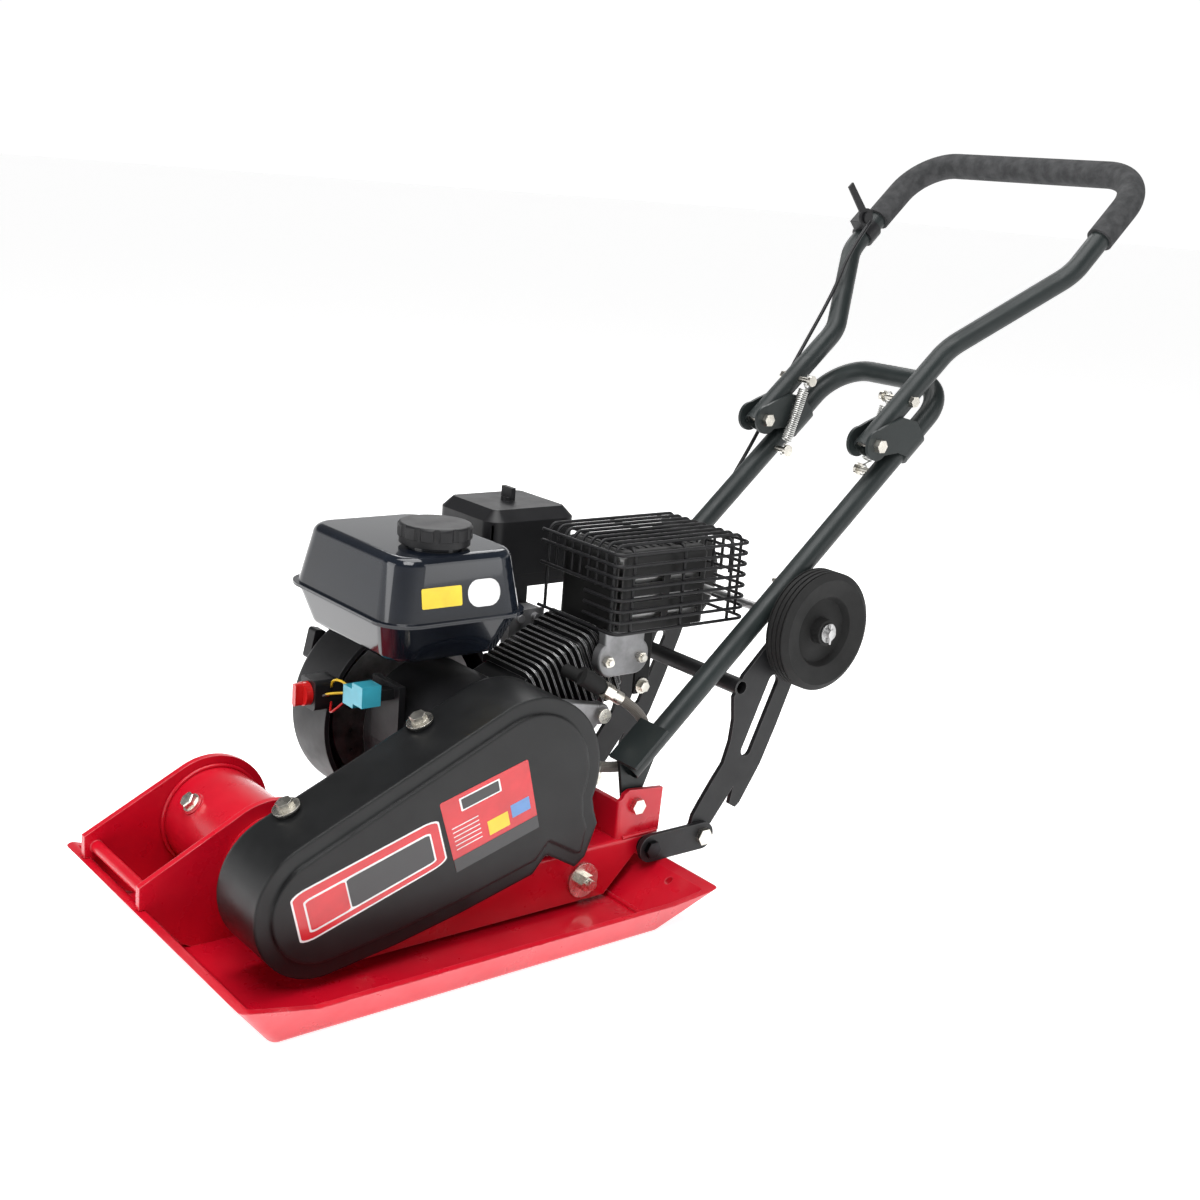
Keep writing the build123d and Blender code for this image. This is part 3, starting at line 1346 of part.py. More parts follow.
peg_s = 519
with BuildPart() as handle_fasteners:
    for side in (1, -1):
        out = side * (leg_y + ear_in + ear_t)
        inn = side * (leg_y - ear_in - ear_t)
        rod_y(fold_x, fold_z, min(inn, out), max(inn, out), handle_bolt_r)
        hex_y(fold_x, fold_z, min(out, out + side * 8), max(out, out + side * 8), 15)
        hex_y(fold_x, fold_z, min(inn, inn - side * 6), max(inn, inn - side * 6), 15)
        peg_x, peg_z = along(peg_s)
        peg_in = side * (leg_y - tube_r_out)
        peg_tip = side * 66
        rod_y(peg_x, peg_z, min(peg_in, peg_tip), max(peg_in, peg_tip), 4)
        rod_y(peg_x, peg_z, min(peg_tip, peg_tip - side * 4), max(peg_tip, peg_tip - side * 4), 8)
    stow_x, stow_z = along(325)
    hex_y(stow_x, stow_z, leg_y + tube_r_out, leg_y + tube_r_out + 6, 12)
    rod_y(stow_x, stow_z, leg_y - tube_r_out - 8, leg_y - tube_r_out, 3)
finish(handle_fasteners, "handle_fasteners")


def upper(step, rise=0.0):
    """A side-view point on the upper handle, past its first bend."""
    c = math.cos(math.radians(leg_angle + upper_lean))
    s = math.sin(math.radians(leg_angle + upper_lean))
    x, z = along(fold_along + upper_first, fold_offset)
    return x - c * step + s * rise, z + s * step + c * rise


def upper_at(step, rise, y):
    """A point in space on the upper handle, past its first bend."""
    x, z = upper(step, rise)
    return x, y, z


top_step = upper_second + upper_third
near_side = [
    at(fold_along - upper_tail, fold_offset, leg_y),
    upper_at(0, 0, leg_y),
    upper_at(upper_second, 0, upper_half),
    upper_at(top_step, 0, upper_half),
]
far_side = [(x, -y, z) for x, y, z in reversed(near_side)]
upper_bend = 62
with BuildPart() as upper_handle:
    with BuildLine() as upper_path:
        tube_path(near_side + far_side, upper_bend)
    with BuildSketch(Plane(origin=upper_path.line @ 0, z_dir=upper_path.line % 0)) as upper_section:
        Circle(tube_r_out)
        Circle(tube_r_in, mode=Mode.SUBTRACT)
    sweep()
    rod_y(fold_x, fold_z, -leg_y - 30, leg_y + 30, handle_bolt_r + bore_gap, Mode.SUBTRACT)
finish(upper_handle, "upper_handle")

grip_step = top_step - grip_run
grip_points = [
    upper_at(grip_step, 0, upper_half),
    upper_at(top_step, 0, upper_half),
    upper_at(top_step, 0, -upper_half),
    upper_at(grip_step, 0, -upper_half),
]
with BuildPart() as foam_grip:
    with BuildLine() as grip_path:
        tube_path(grip_points, upper_bend)
    with BuildSketch(Plane(origin=grip_path.line @ 0, z_dir=grip_path.line % 0)) as grip_section:
        Circle(grip_od / 2)
        Circle(tube_r_out, mode=Mode.SUBTRACT)
    sweep()
finish(foam_grip, "foam_grip")

# studs on the upper legs that hold the springs
stud_s = 604
stud_n = fold_offset
with BuildPart() as spring_studs:
    for side in (1, -1):
        post_x, post_z = along(stud_s, stud_n)
        outer = side * (leg_y + tube_r_out)
        inner = side * (leg_y - tube_r_out)
        hex_y(post_x, post_z, min(outer, outer + side * 6), max(outer, outer + side * 6), 13)
        rod_y(post_x, post_z, min(inner, side * 66), max(inner, side * 66), 4)
        rod_y(post_x, post_z, min(side * 66, side * 61), max(side * 66, side * 61), 7)
finish(spring_studs, "spring_studs")

coil_r = 7.5
spring_wire = 1.3
spring_y = 72
with BuildPart() as handle_springs:
    for side in (1, -1):
        low_end = Vector(*at(peg_s, 0, side * spring_y))
        high_end = Vector(*at(stud_s, stud_n, side * spring_y))
        reach = high_end - low_end
        pull = reach.normalized()
        body_start = low_end + pull * 14
        body_len = reach.length - 28
        turns = 16
        with BuildLine() as coil:
            Helix(pitch=body_len / turns, height=body_len, radius=coil_r - spring_wire,
                  center=tuple(body_start), direction=tuple(pull))
        with BuildSketch(Plane(origin=coil.line @ 0, z_dir=coil.line % 0)) as coil_section:
            Circle(spring_wire)
        sweep(is_frenet=True)
        for eye in (low_end, high_end):
            with BuildSketch(Plane(origin=tuple(eye), x_dir=(1, 0, 0), z_dir=(0, 0, 1))) as eye_section:
                with Locations((6.6, 0)):
                    Circle(spring_wire)
            revolve(eye_section.sketch, axis=Axis(tuple(eye), (0, 1, 0)))
        for hook_from, hook_to in ((low_end + pull * 7, body_start + pull * 4),
                                   (high_end - pull * 7, high_end - pull * 18)):
            hook = hook_to - hook_from
            with BuildSketch(Plane(origin=tuple(hook_from), z_dir=tuple(hook.normalized()))) as hook_section:
                Circle(spring_wire)
            extrude(amount=hook.length)
finish(handle_springs, "handle_springs")

# throttle clamp, lever and cable on the far side of the upper handle
clamp_step = 190
clamp_rise = tube_r_out + 14
upper_c = math.cos(math.radians(leg_angle + upper_lean))
upper_s = math.sin(math.radians(leg_angle + upper_lean))
with BuildPart() as throttle_clamp:
    with BuildSketch(Plane(origin=upper_at(clamp_step - 11, 0, -upper_half), x_dir=(0, 1, 0),
                           z_dir=(-upper_c, 0, upper_s))) as clamp_ring:
        Circle(tube_r_out + 3.5)
        with Locations((0, -tube_r_out - 6)):
            Rectangle(18, 18)
        Circle(tube_r_out, mode=Mode.SUBTRACT)
    extrude(amount=22)
    lever_x, lever_z = upper(clamp_step, clamp_rise)
    rod_y(lever_x, lever_z, -upper_half + 9, -upper_half + 18, 4)
    rod_y(lever_x, lever_z, -upper_half + 15, -upper_half + 18, 8)
finish(throttle_clamp, "throttle_clamp")

with BuildPart() as throttle_lever:
    with BuildSketch(Plane.XZ.offset(upper_half - 14)) as lever_plate:
        with Locations((lever_x, lever_z)):
            Circle(13)
        with BuildLine() as lever_line:
            Polyline(
                upper(clamp_step - 6, clamp_rise),
                upper(clamp_step - 4, clamp_rise + 58),
                upper(clamp_step + 6, clamp_rise + 58),
                upper(clamp_step + 6, clamp_rise),
                close=True,
            )
        make_face()
    extrude(amount=3)
    rod_y(lever_x, lever_z, -upper_half + 8, -upper_half + 18, 4 + bore_gap, Mode.SUBTRACT)
finish(throttle_lever, "throttle_lever")

cable_r = 2.5
cable_y = -upper_half + 32
cable_route = [
    upper_at(clamp_step - 12, clamp_rise + 4, cable_y),
    upper_at(clamp_step - 72, clamp_rise + 2, cable_y + 6),
    upper_at(clamp_step - 136, clamp_rise - 8, cable_y + 24),
    at(fold_along + 118, 44, -126),
    at(fold_along + 56, 30, -122),
    at(fold_along - 8, 8, -122),
    at(fold_along - 76, -8, -121),
    at(fold_along - 146, -18, -106),
    at(fold_along - 216, -18, -108),
    at(fold_along - 285, -14, -117),
    (-364, -118, 268),
    (-306, -113, 270),
    (-272, -100, 281),
    (carb_x - 26, carb_mid_y, 290),
]
with BuildPart() as throttle_cable:
    with BuildLine() as cable_line:
        FilletPolyline(*cable_route, radius=held_route(cable_route))
    with BuildSketch(Plane(origin=cable_line.line @ 0, z_dir=cable_line.line % 0)) as cable_section:
        Circle(cable_r)
    sweep()
print("cable radii", [round(value, 1) for value in held_route(cable_route)])
print("cable length", round(sum(edge.length for edge in cable_line.edges()), 1))
finish(throttle_cable, "throttle_cable")

# ================================================================= WHEEL KIT
pin_len_in = skirt_in - 4
link_far_y = link_y + link_t
with BuildPart() as link_arms:
    for side in (1, -1):
        with BuildSketch(Plane.XZ.offset(-max(side * link_y, side * link_far_y))) as link_shape:
            with Locations(((link_a_x + link_b_x) / 2, link_z)):
                SlotCenterToCenter(link_a_x - link_b_x, link_h)
        extrude(amount=link_t)
    rod_y(link_a_x, link_z, -link_far_y - 1, link_far_y + 1, pin_r, Mode.SUBTRACT)
    rod_y(link_b_x, link_z, -link_far_y - 1, link_far_y + 1, pin_r, Mode.SUBTRACT)
finish(link_arms, "link_arms")

arm_far_y = arm_y + arm_t
with BuildPart() as link_bolts:
    for side in (1, -1):
        for spot_x, inner in ((link_a_x, pin_len_in), (link_b_x, arm_y - 4)):
            low = min(side * inner, side * link_y)
            rod_y(spot_x, link_z, low, low + link_y - inner, pin_r - bore_gap)
            low = min(side * link_y, side * link_far_y)
            rod_y(spot_x, link_z, low, low + link_t, pin_r)
            low = min(side * link_far_y, side * (link_far_y + 6))
            hex_y(spot_x, link_z, low, low + 6, 19)
        low = min(side * (arm_y - 9), side * (arm_y - 4))
        rod_y(link_b_x, link_z, low, low + 5, 11)
        low = min(side * (deck_half + clear), side * link_y)
        ring_y(link_a_x, link_z, low, low + link_y - deck_half - clear, 12, pin_r - bore_gap)
finish(link_bolts, "link_bolts")

foot_r = 18
boss_r = 22
with BuildPart() as wheel_frame:
    for side in (1, -1):
        with BuildSketch(Plane.XZ.offset(-max(side * arm_y, side * arm_far_y))) as arm_shape:
            with BuildLine() as arm_line:
                Polyline(
                    (link_b_x + foot_r, link_z),
                    (link_b_x + 12, link_z + 26),
                    (link_b_x + 3, link_z + 40),
                    (-383, 132),
                    (-398, 152),
                    (-406, 179),
                    (-408, 207),
                    (-404, 236),
                    (-417, 262),
                    (-451, 295),
                    (axle_x + 10, axle_z + 19),
                    (axle_x - boss_r, axle_z),
                    (axle_x - 12, axle_z - 30),
                    (-504, 246),
                    (-482, 190),
                    (-461, 142),
                    (-432, 95),
                    (-425, 90),
                    (-415, 96),
                    (-419, 119),
                    (link_b_x - 17, link_z + 9),
                    (link_b_x - foot_r, link_z),
                    close=True,
                )
            make_face()
            with Locations((link_b_x, link_z)):
                Circle(foot_r)
            with Locations((axle_x, axle_z)):
                Circle(boss_r)
            with Locations(Location((-451.5, 206), 112.6)):
                SlotCenterToCenter(91, 17, mode=Mode.SUBTRACT)
        extrude(amount=arm_t)
        arm_low, arm_high = sorted([side * arm_y, side * arm_far_y])
        rod_y(link_b_x, link_z, arm_low - 1, arm_high + 1, pin_r, Mode.SUBTRACT)
        rod_y(axle_x, axle_z, arm_low - 1, arm_high + 1, axle_r, Mode.SUBTRACT)
    rod_y(cross_x, cross_z, -arm_far_y, arm_far_y, cross_r)
    rod_y(cross_x, cross_z, -arm_far_y - 1, arm_far_y + 1, cross_r - 2.5, Mode.SUBTRACT)
finish(wheel_frame, "wheel_frame")

wheel_stop = wheel_y + wheel_w
with BuildPart() as axle:
    rod_y(axle_x, axle_z, -wheel_stop - 8, wheel_stop + 8, axle_r)
    for side in (1, -1):
        low = min(side * arm_far_y, side * (wheel_y - clear))
        rod_y(axle_x, axle_z, low, low + wheel_y - clear - arm_far_y, 11)
        low = min(side * (wheel_stop + clear), side * (wheel_stop + clear + 1.8))
        rod_y(axle_x, axle_z, low, low + 1.8, 12)
        with Locations((axle_x, side * (wheel_stop + 5), axle_z)):
            Cylinder(1.6, 26)
finish(axle, "axle")


def build_wheel(near):
    """One tyre and hub turned about the axle, as a section swept round Y."""
    far = near + wheel_w
    mid = near + wheel_w / 2
    with BuildSketch(Plane.XY) as section:
        with BuildLine() as section_line:
            Polyline(
                (axle_x + axle_r + running_gap, near + 4),
                (axle_x + 16, near + 4),
                (axle_x + 16, mid - 4),
                (axle_x + hub_r - 4, mid - 4),
                (axle_x + hub_r, near + 5),
                (axle_x + wheel_r - 8, near),
                (axle_x + wheel_r, near + 5),
                (axle_x + wheel_r, far - 5),
                (axle_x + wheel_r - 8, far),
                (axle_x + hub_r, far - 5),
                (axle_x + hub_r - 4, mid + 4),
                (axle_x + 16, mid + 4),
                (axle_x + 16, far - 0.2),
                (axle_x + axle_r + running_gap, far - 0.2),
                close=True,
            )
        make_face()
        for groove in range(4):
            with Locations((axle_x + wheel_r, near + wheel_w * (groove + 1) / 5)):
                Rectangle(4, 2.4, mode=Mode.SUBTRACT)
    revolve(section.sketch, axis=Axis((axle_x, 0, 0), (0, 1, 0)))
    for hole in range(6):
        with BuildSketch(Plane.XZ.offset(-mid - 6)) as hub_window:
            with Locations(Location((axle_x, 0), 60 * hole)):
                with BuildLine() as window_line:
                    Polyline((19, -6), (37, -12), (37, 12), (19, 6), close=True)
                make_face()
        extrude(hub_window.sketch, amount=12, mode=Mode.SUBTRACT)


with BuildPart() as wheel_left:
    build_wheel(wheel_y)
wheel_left.part = Pos(0, 0, axle_z) * wheel_left.part
finish(wheel_left, "wheel_left")

with BuildPart() as wheel_right:
    build_wheel(-wheel_stop)
wheel_right.part = Pos(0, 0, axle_z) * wheel_right.part
finish(wheel_right, "wheel_right")

# ================================================== PIECES THAT SHARE A NODE
with BuildPart() as weld_beads:
    add(pan_seam_weld.part)
    add(exciter_welds.part)
    add(bracket_welds.part)
finish(weld_beads, "weld_beads")

with BuildPart() as exciter_covers:
    add(exciter_end_cover.part)
    add(exciter_neck.part)
finish(exciter_covers, "exciter_covers")

with BuildPart() as cover_bolts:
    add(exciter_cover_bolts.part)
    add(exciter_plug.part)
    add(side_cover_bolts.part)
    add(exhaust_nuts.part)
    add(muffler_stay_bolt.part)
    add(guard_bolts.part)
finish(cover_bolts, "cover_bolts")

with BuildPart() as exciter_rotor:
    add(exciter_shaft.part)
    add(eccentric_weight.part)
finish(exciter_rotor, "exciter_shaft")

with BuildPart() as mount_fasteners:
    add(mount_bolts.part)
    add(mount_washers.part)
    add(mount_nuts.part)
    add(pivot_bolts.part)
finish(mount_fasteners, "mount_fasteners")

with BuildPart() as rubber_pieces:
    add(rubber_mounts.part)
    add(guard_pads.part)
finish(rubber_pieces, "rubber_mounts")

with BuildPart() as crank_rotor:
    add(crankshaft.part)
    add(flywheel.part)
finish(crank_rotor, "crankshaft")

with BuildPart() as clutch_driver:
    add(clutch_hub.part)
    add(clutch_bolt.part)
finish(clutch_driver, "clutch_hub")

with BuildPart() as heat_shield:
    add(muffler_shield.part)
    add(muffler_stay.part)
finish(heat_shield, "muffler_shield")

with BuildPart() as wire_cage:
    add(muffler_cage.part)
    add(cage_bars.part)
    add(cage_uprights.part)
finish(wire_cage, "muffler_cage")

with BuildPart() as tank_shell:
    add(tank_upper.part)
    add(filler_neck.part)
finish(tank_shell, "tank_upper")

with BuildPart() as switch_mounting:
    add(switch_box.part)
    add(connector_bracket.part)
finish(switch_mounting, "switch_box")

with BuildPart() as lead_fittings:
    add(lead_fitting.part)
    add(lead_clip.part)
finish(lead_fittings, "lead_fittings")

with BuildPart() as lobe_plates:
    add(exciter_side_plates.part)
    add(front_hand_rod.part)
finish(lobe_plates, "exciter_side_plates")

with BuildPart() as head_and_cover:
    add(cylinder_head.part)
    add(valve_cover.part)
finish(head_and_cover, "cylinder_head")
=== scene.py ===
import json
import math

import bmesh
import bpy
from mathutils import Matrix, Vector


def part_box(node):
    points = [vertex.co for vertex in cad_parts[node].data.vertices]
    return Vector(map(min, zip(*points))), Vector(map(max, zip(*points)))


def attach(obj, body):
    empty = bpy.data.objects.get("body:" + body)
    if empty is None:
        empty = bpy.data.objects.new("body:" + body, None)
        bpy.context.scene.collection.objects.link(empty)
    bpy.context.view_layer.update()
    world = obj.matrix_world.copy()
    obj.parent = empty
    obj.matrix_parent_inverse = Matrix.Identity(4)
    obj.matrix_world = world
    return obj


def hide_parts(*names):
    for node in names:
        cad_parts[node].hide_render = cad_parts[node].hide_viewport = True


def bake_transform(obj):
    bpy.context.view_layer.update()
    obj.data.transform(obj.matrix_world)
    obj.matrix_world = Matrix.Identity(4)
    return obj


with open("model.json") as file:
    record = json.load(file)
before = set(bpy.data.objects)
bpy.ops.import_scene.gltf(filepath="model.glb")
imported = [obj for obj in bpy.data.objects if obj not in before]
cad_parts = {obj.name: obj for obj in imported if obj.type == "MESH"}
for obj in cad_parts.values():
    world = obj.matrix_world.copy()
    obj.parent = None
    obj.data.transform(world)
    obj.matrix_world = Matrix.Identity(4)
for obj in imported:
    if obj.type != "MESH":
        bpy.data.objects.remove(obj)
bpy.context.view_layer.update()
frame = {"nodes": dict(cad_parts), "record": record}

NODES = frame["nodes"]
MM = 0.001
BEVEL_SAMPLES = 6


# ------------------------------------------------------------ node helpers
class Shader:
    """A material under construction: its node tree and its main shader."""

    def __init__(self, name, color, rough, metal=0.0, coat=0.0, coat_rough=0.08, specular=0.5):
        self.material = bpy.data.materials.new(name)
        self.material.use_nodes = True
        self.tree = self.material.node_tree
        self.main = self.tree.nodes["Principled BSDF"]
        self.main.inputs["Base Color"].default_value = (*color, 1.0)
        self.main.inputs["Roughness"].default_value = rough
        self.main.inputs["Metallic"].default_value = metal
        self.main.inputs["Specular IOR Level"].default_value = specular
        self.main.inputs["Coat Weight"].default_value = coat
        self.main.inputs["Coat Roughness"].default_value = coat_rough
        self.coords = self.node("ShaderNodeTexCoord").outputs["Object"]
        self.normal = None

    def node(self, kind, **values):
        """A new node with its input sockets set by name."""
        made = self.tree.nodes.new(kind)
        for name, value in values.items():
            made.inputs[name.replace("_", " ")].default_value = value
        return made

    def link(self, out, into):
        """Joins an output socket to an input socket."""
        self.tree.links.new(out, into)

    def noise(self, scale, detail=4.0, rough=0.55):
        """Object-space noise, as a value output."""
        made = self.node("ShaderNodeTexNoise", Scale=scale, Detail=detail, Roughness=rough)
        self.link(self.coords, made.inputs["Vector"])
        return made.outputs["Fac"]

    def cells(self, scale):
        """Object-space cell distance, as a value output."""
        made = self.node("ShaderNodeTexVoronoi", Scale=scale)
        self.link(self.coords, made.inputs["Vector"])
        return made.outputs["Distance"]

    def remap(self, value, low, high, to_low, to_high):
        """The value rescaled and clamped."""
        made = self.node("ShaderNodeMapRange", From_Min=low, From_Max=high,
                         To_Min=to_low, To_Max=to_high)
        self.link(value, made.inputs["Value"])
        return made.outputs["Result"]

    def bump(self, height, strength, distance):
        """Adds one layer of surface relief on top of the earlier ones."""
        made = self.node("ShaderNodeBump", Strength=strength, Distance=distance)
        self.link(height, made.inputs["Height"])
        if self.normal is not None:
            self.link(self.normal, made.inputs["Normal"])
        self.normal = made.outputs["Normal"]

    def round_edges(self, radius):
        """Softens hard edges so that they catch the light."""
        made = self.node("ShaderNodeBevel", Radius=radius)
        made.samples = BEVEL_SAMPLES
        self.normal = made.outputs["Normal"]

    def edge_mask(self, radius, low=0.02, high=0.16):
        """Near 1 where the surface turns sharply within the radius."""
        rounded = self.node("ShaderNodeBevel", Radius=radius)
        rounded.samples = BEVEL_SAMPLES
        plain = self.node("ShaderNodeNewGeometry")
        match = self.node("ShaderNodeVectorMath")
        match.operation = "DOT_PRODUCT"
        self.link(rounded.outputs["Normal"], match.inputs[0])
        self.link(plain.outputs["Normal"], match.inputs[1])
        return self.remap(match.outputs["Value"], 1.0 - low, 1.0 - high, 0.0, 1.0)

    def mix_color(self, factor, first, second, into="Base Color"):
        """Blends two colours by a value and feeds a socket of the main shader."""
        made = self.tree.nodes.new("ShaderNodeMix")
        made.data_type = "RGBA"
        made.inputs["A"].default_value = (*first, 1.0) if isinstance(first, tuple) else (0, 0, 0, 1)
        made.inputs["B"].default_value = (*second, 1.0)
        if not isinstance(first, tuple):
            self.link(first, made.inputs["A"])
        self.link(factor, made.inputs["Factor"])
        self.link(made.outputs["Result"], self.main.inputs[into])
        return made.outputs["Result"]

    def done(self):
        """The finished material, with its surface relief joined up."""
        if self.normal is not None:
            self.link(self.normal, self.main.inputs["Normal"])
        return self.material


def red_paint():
    """Thick glossy red powder coat, with a painted highlight in patches along its edges."""
    s = Shader("red_paint", (0.56, 0.004, 0.018), 0.32, coat=0.35, coat_rough=0.1, specular=0.35)
    s.round_edges(1.6 * MM)
    s.bump(s.noise(55.0, 2.0), 0.12, 1.2 * MM)
    s.bump(s.noise(420.0, 3.0), 0.08, 0.25 * MM)
    grime = s.remap(s.noise(9.0, 6.0), 0.42, 0.72, 0.0, 0.5)
    base = s.mix_color(grime, (0.58, 0.004, 0.018), (0.36, 0.002, 0.012))
    # pale pink along sharp edges, broken into patches by noise: a painted highlight
    pale_edge_highlight = s.tree.nodes.new("ShaderNodeMath")
    pale_edge_highlight.operation = "MULTIPLY"
    s.link(s.edge_mask(2.2 * MM), pale_edge_highlight.inputs[0])
    s.link(s.remap(s.noise(38.0, 5.0), 0.38, 0.6, 0.15, 0.85), pale_edge_highlight.inputs[1])
    s.mix_color(pale_edge_highlight.outputs[0], base, (0.8, 0.16, 0.19))
    s.link(s.remap(s.noise(24.0), 0.3, 0.7, 0.22, 0.42), s.main.inputs["Roughness"])
    return s.done()


def satin(name, color, rough, grain=320.0, relief=0.12, edge_highlight_color=None, radius=1.0):
    """Painted or moulded surface with a fine grain and softened edges, and a painted highlight along sharp
    edges when a highlight colour is given.
    """
    s = Shader(name, color, rough, specular=0.3)
    s.round_edges(radius * MM)
    s.bump(s.noise(grain, 3.0), relief, 0.3 * MM)
    shade = tuple(min(1.0, channel * 1.5 + 0.002) for channel in color)
    base = s.mix_color(s.remap(s.noise(14.0, 5.0), 0.35, 0.7, 0.0, 0.6), color, shade)
    # a lighter colour along sharp edges: a painted highlight
    if edge_highlight_color:
        s.mix_color(s.edge_mask(radius * 1.6 * MM), base, edge_highlight_color)
    s.link(s.remap(s.noise(30.0), 0.3, 0.7, rough - 0.06, rough + 0.08), s.main.inputs["Roughness"])
    return s.done()


def metal(name, color, rough):
    """Bare or plated metal with slight staining."""
    s = Shader(name, color, rough, metal=1.0)
    s.round_edges(0.6 * MM)
    s.bump(s.noise(200.0, 4.0), 0.1, 0.25 * MM)
    stain = tuple(channel * 0.55 for channel in color)
    s.mix_color(s.remap(s.noise(60.0, 5.0), 0.42, 0.75, 0.0, 0.8), color, stain)
    s.link(s.remap(s.noise(90.0), 0.3, 0.7, rough - 0.08, rough + 0.12), s.main.inputs["Roughness"])
    return s.done()


def cast_metal():
    """Sand-cast aluminium, dull grey, with a painted highlight along its sharp edges."""
    s = Shader("cast_aluminium", (0.34, 0.34, 0.35), 0.5, metal=0.9)
    s.round_edges(0.8 * MM)
    s.bump(s.noise(520.0, 4.0), 0.4, 0.35 * MM)
    soot = s.remap(s.noise(26.0, 6.0), 0.4, 0.7, 0.0, 0.8)
    base = s.mix_color(soot, (0.36, 0.36, 0.37), (0.14, 0.14, 0.14))
    # bright along sharp edges: a painted highlight
    s.mix_color(s.edge_mask(1.0 * MM), base, (0.72, 0.72, 0.72))
    return s.done()


def fin_metal():
    """Dark cast fins, with a painted highlight along the fin edges."""
    s = Shader("fin_aluminium", (0.05, 0.05, 0.052), 0.45, metal=0.7)
    s.bump(s.noise(500.0, 4.0), 0.3, 0.3 * MM)
    # bright along the fin edges: a painted highlight
    s.mix_color(s.edge_mask(0.9 * MM, 0.01, 0.1), (0.045, 0.045, 0.047), (0.6, 0.6, 0.6))
    return s.done()


def foam():
    """Closed-cell foam sleeve, dull with a fine open grain."""
    s = Shader("foam_sleeve", (0.028, 0.029, 0.03), 0.92)
    s.bump(s.cells(620.0), 0.35, 0.4 * MM)
    s.bump(s.noise(40.0, 3.0), 0.15, 1.0 * MM)
    dust = s.remap(s.noise(80.0), 0.35, 0.7, 0.0, 1.0)
    s.mix_color(dust, (0.022, 0.023, 0.024), (0.05, 0.05, 0.052))
    return s.done()


def tank_enamel():
    """Deep glossy black enamel with a blue cast."""
    s = Shader("tank_enamel", (0.004, 0.005, 0.008), 0.12, coat=0.5, coat_rough=0.03, specular=0.3)
    s.round_edges(1.2 * MM)
    s.bump(s.noise(22.0, 1.0), 0.03, 1.0 * MM)
    cast = s.remap(s.noise(5.0), 0.35, 0.7, 0.0, 1.0)
    s.mix_color(cast, (0.005, 0.006, 0.009), (0.01, 0.014, 0.022))
    return s.done()


def braid():
    """Woven sleeve: two crossed waves along the cord, with painted shade in the hollows between the strands.
    """
    s = Shader("braided_sleeve", (0.12, 0.105, 0.09), 0.5, metal=0.3)
    uv = s.node("ShaderNodeTexCoord").outputs["UV"]
    heights = []
    for lean in (1.0, -1.0):
        turn = s.node("ShaderNodeMapping")
        turn.inputs["Scale"].default_value = (90.0, 6.0 * lean, 1.0)
        s.link(uv, turn.inputs["Vector"])
        wave = s.node("ShaderNodeTexWave", Scale=1.0)
        wave.bands_direction = "DIAGONAL"
        s.link(turn.outputs["Vector"], wave.inputs["Vector"])
        heights.append(wave.outputs["Fac"])
    both = s.tree.nodes.new("ShaderNodeMath")
    both.operation = "MAXIMUM"
    s.link(heights[0], both.inputs[0])
    s.link(heights[1], both.inputs[1])
    s.bump(both.outputs[0], 0.8, 0.8 * MM)
    # dark in the hollows of the weave and light on the crests: painted shade
    s.mix_color(both.outputs[0], (0.03, 0.026, 0.022), (0.2, 0.18, 0.155))
    return s.done()


def plain(name, color, rough=0.4, coat=0.0):
    """Print or moulded colour with a slight unevenness."""
    s = Shader(name, color, rough, coat=coat)
    s.bump(s.noise(260.0, 2.0), 0.04, 0.2 * MM)
    shade = tuple(channel * 0.82 for channel in color)
    s.mix_color(s.remap(s.noise(35.0), 0.35, 0.7, 0.0, 1.0), color, shade)
    return s.done()


RED = red_paint()
GUARD = satin("guard_black", (0.0075, 0.0078, 0.0082), 0.34, grain=260.0, relief=0.1, radius=5.0)
HANDLE = satin("handle_coat", (0.013, 0.017, 0.017), 0.4, grain=700.0, relief=0.22, radius=0.8)
# the frame and shield blacks carry a painted highlight along their sharp edges
FRAME_BLACK = satin("frame_black", (0.009, 0.009, 0.01), 0.45, grain=500.0, relief=0.15,
                    edge_highlight_color=(0.09, 0.09, 0.09))
SHIELD = satin("shield_black", (0.008, 0.008, 0.008), 0.5, grain=600.0, relief=0.2,
               edge_highlight_color=(0.07, 0.07, 0.07))
PLASTIC = satin("black_plastic", (0.008, 0.008, 0.009), 0.4, grain=420.0, relief=0.1)
RUBBER = satin("rubber", (0.008, 0.008, 0.008), 0.7, grain=300.0, relief=0.2)
TYRE = satin("tyre_rubber", (0.01, 0.01, 0.01), 0.75, grain=240.0, relief=0.3)
TANK = tank_enamel()
FOAM = foam()
ZINC = metal("zinc_plate", (0.78, 0.75, 0.68), 0.26)
STEEL = metal("bare_steel", (0.5, 0.5, 0.5), 0.35)
SPRING = metal("spring_steel", (0.62, 0.62, 0.6), 0.3)
CAST = cast_metal()
FINS = fin_metal()
BRAID = braid()
SWITCH_RED = plain("switch_red", (0.6, 0.01, 0.01), 0.3, coat=0.5)
CYAN = plain("connector_cyan", (0.05, 0.42, 0.55), 0.3, coat=0.4)

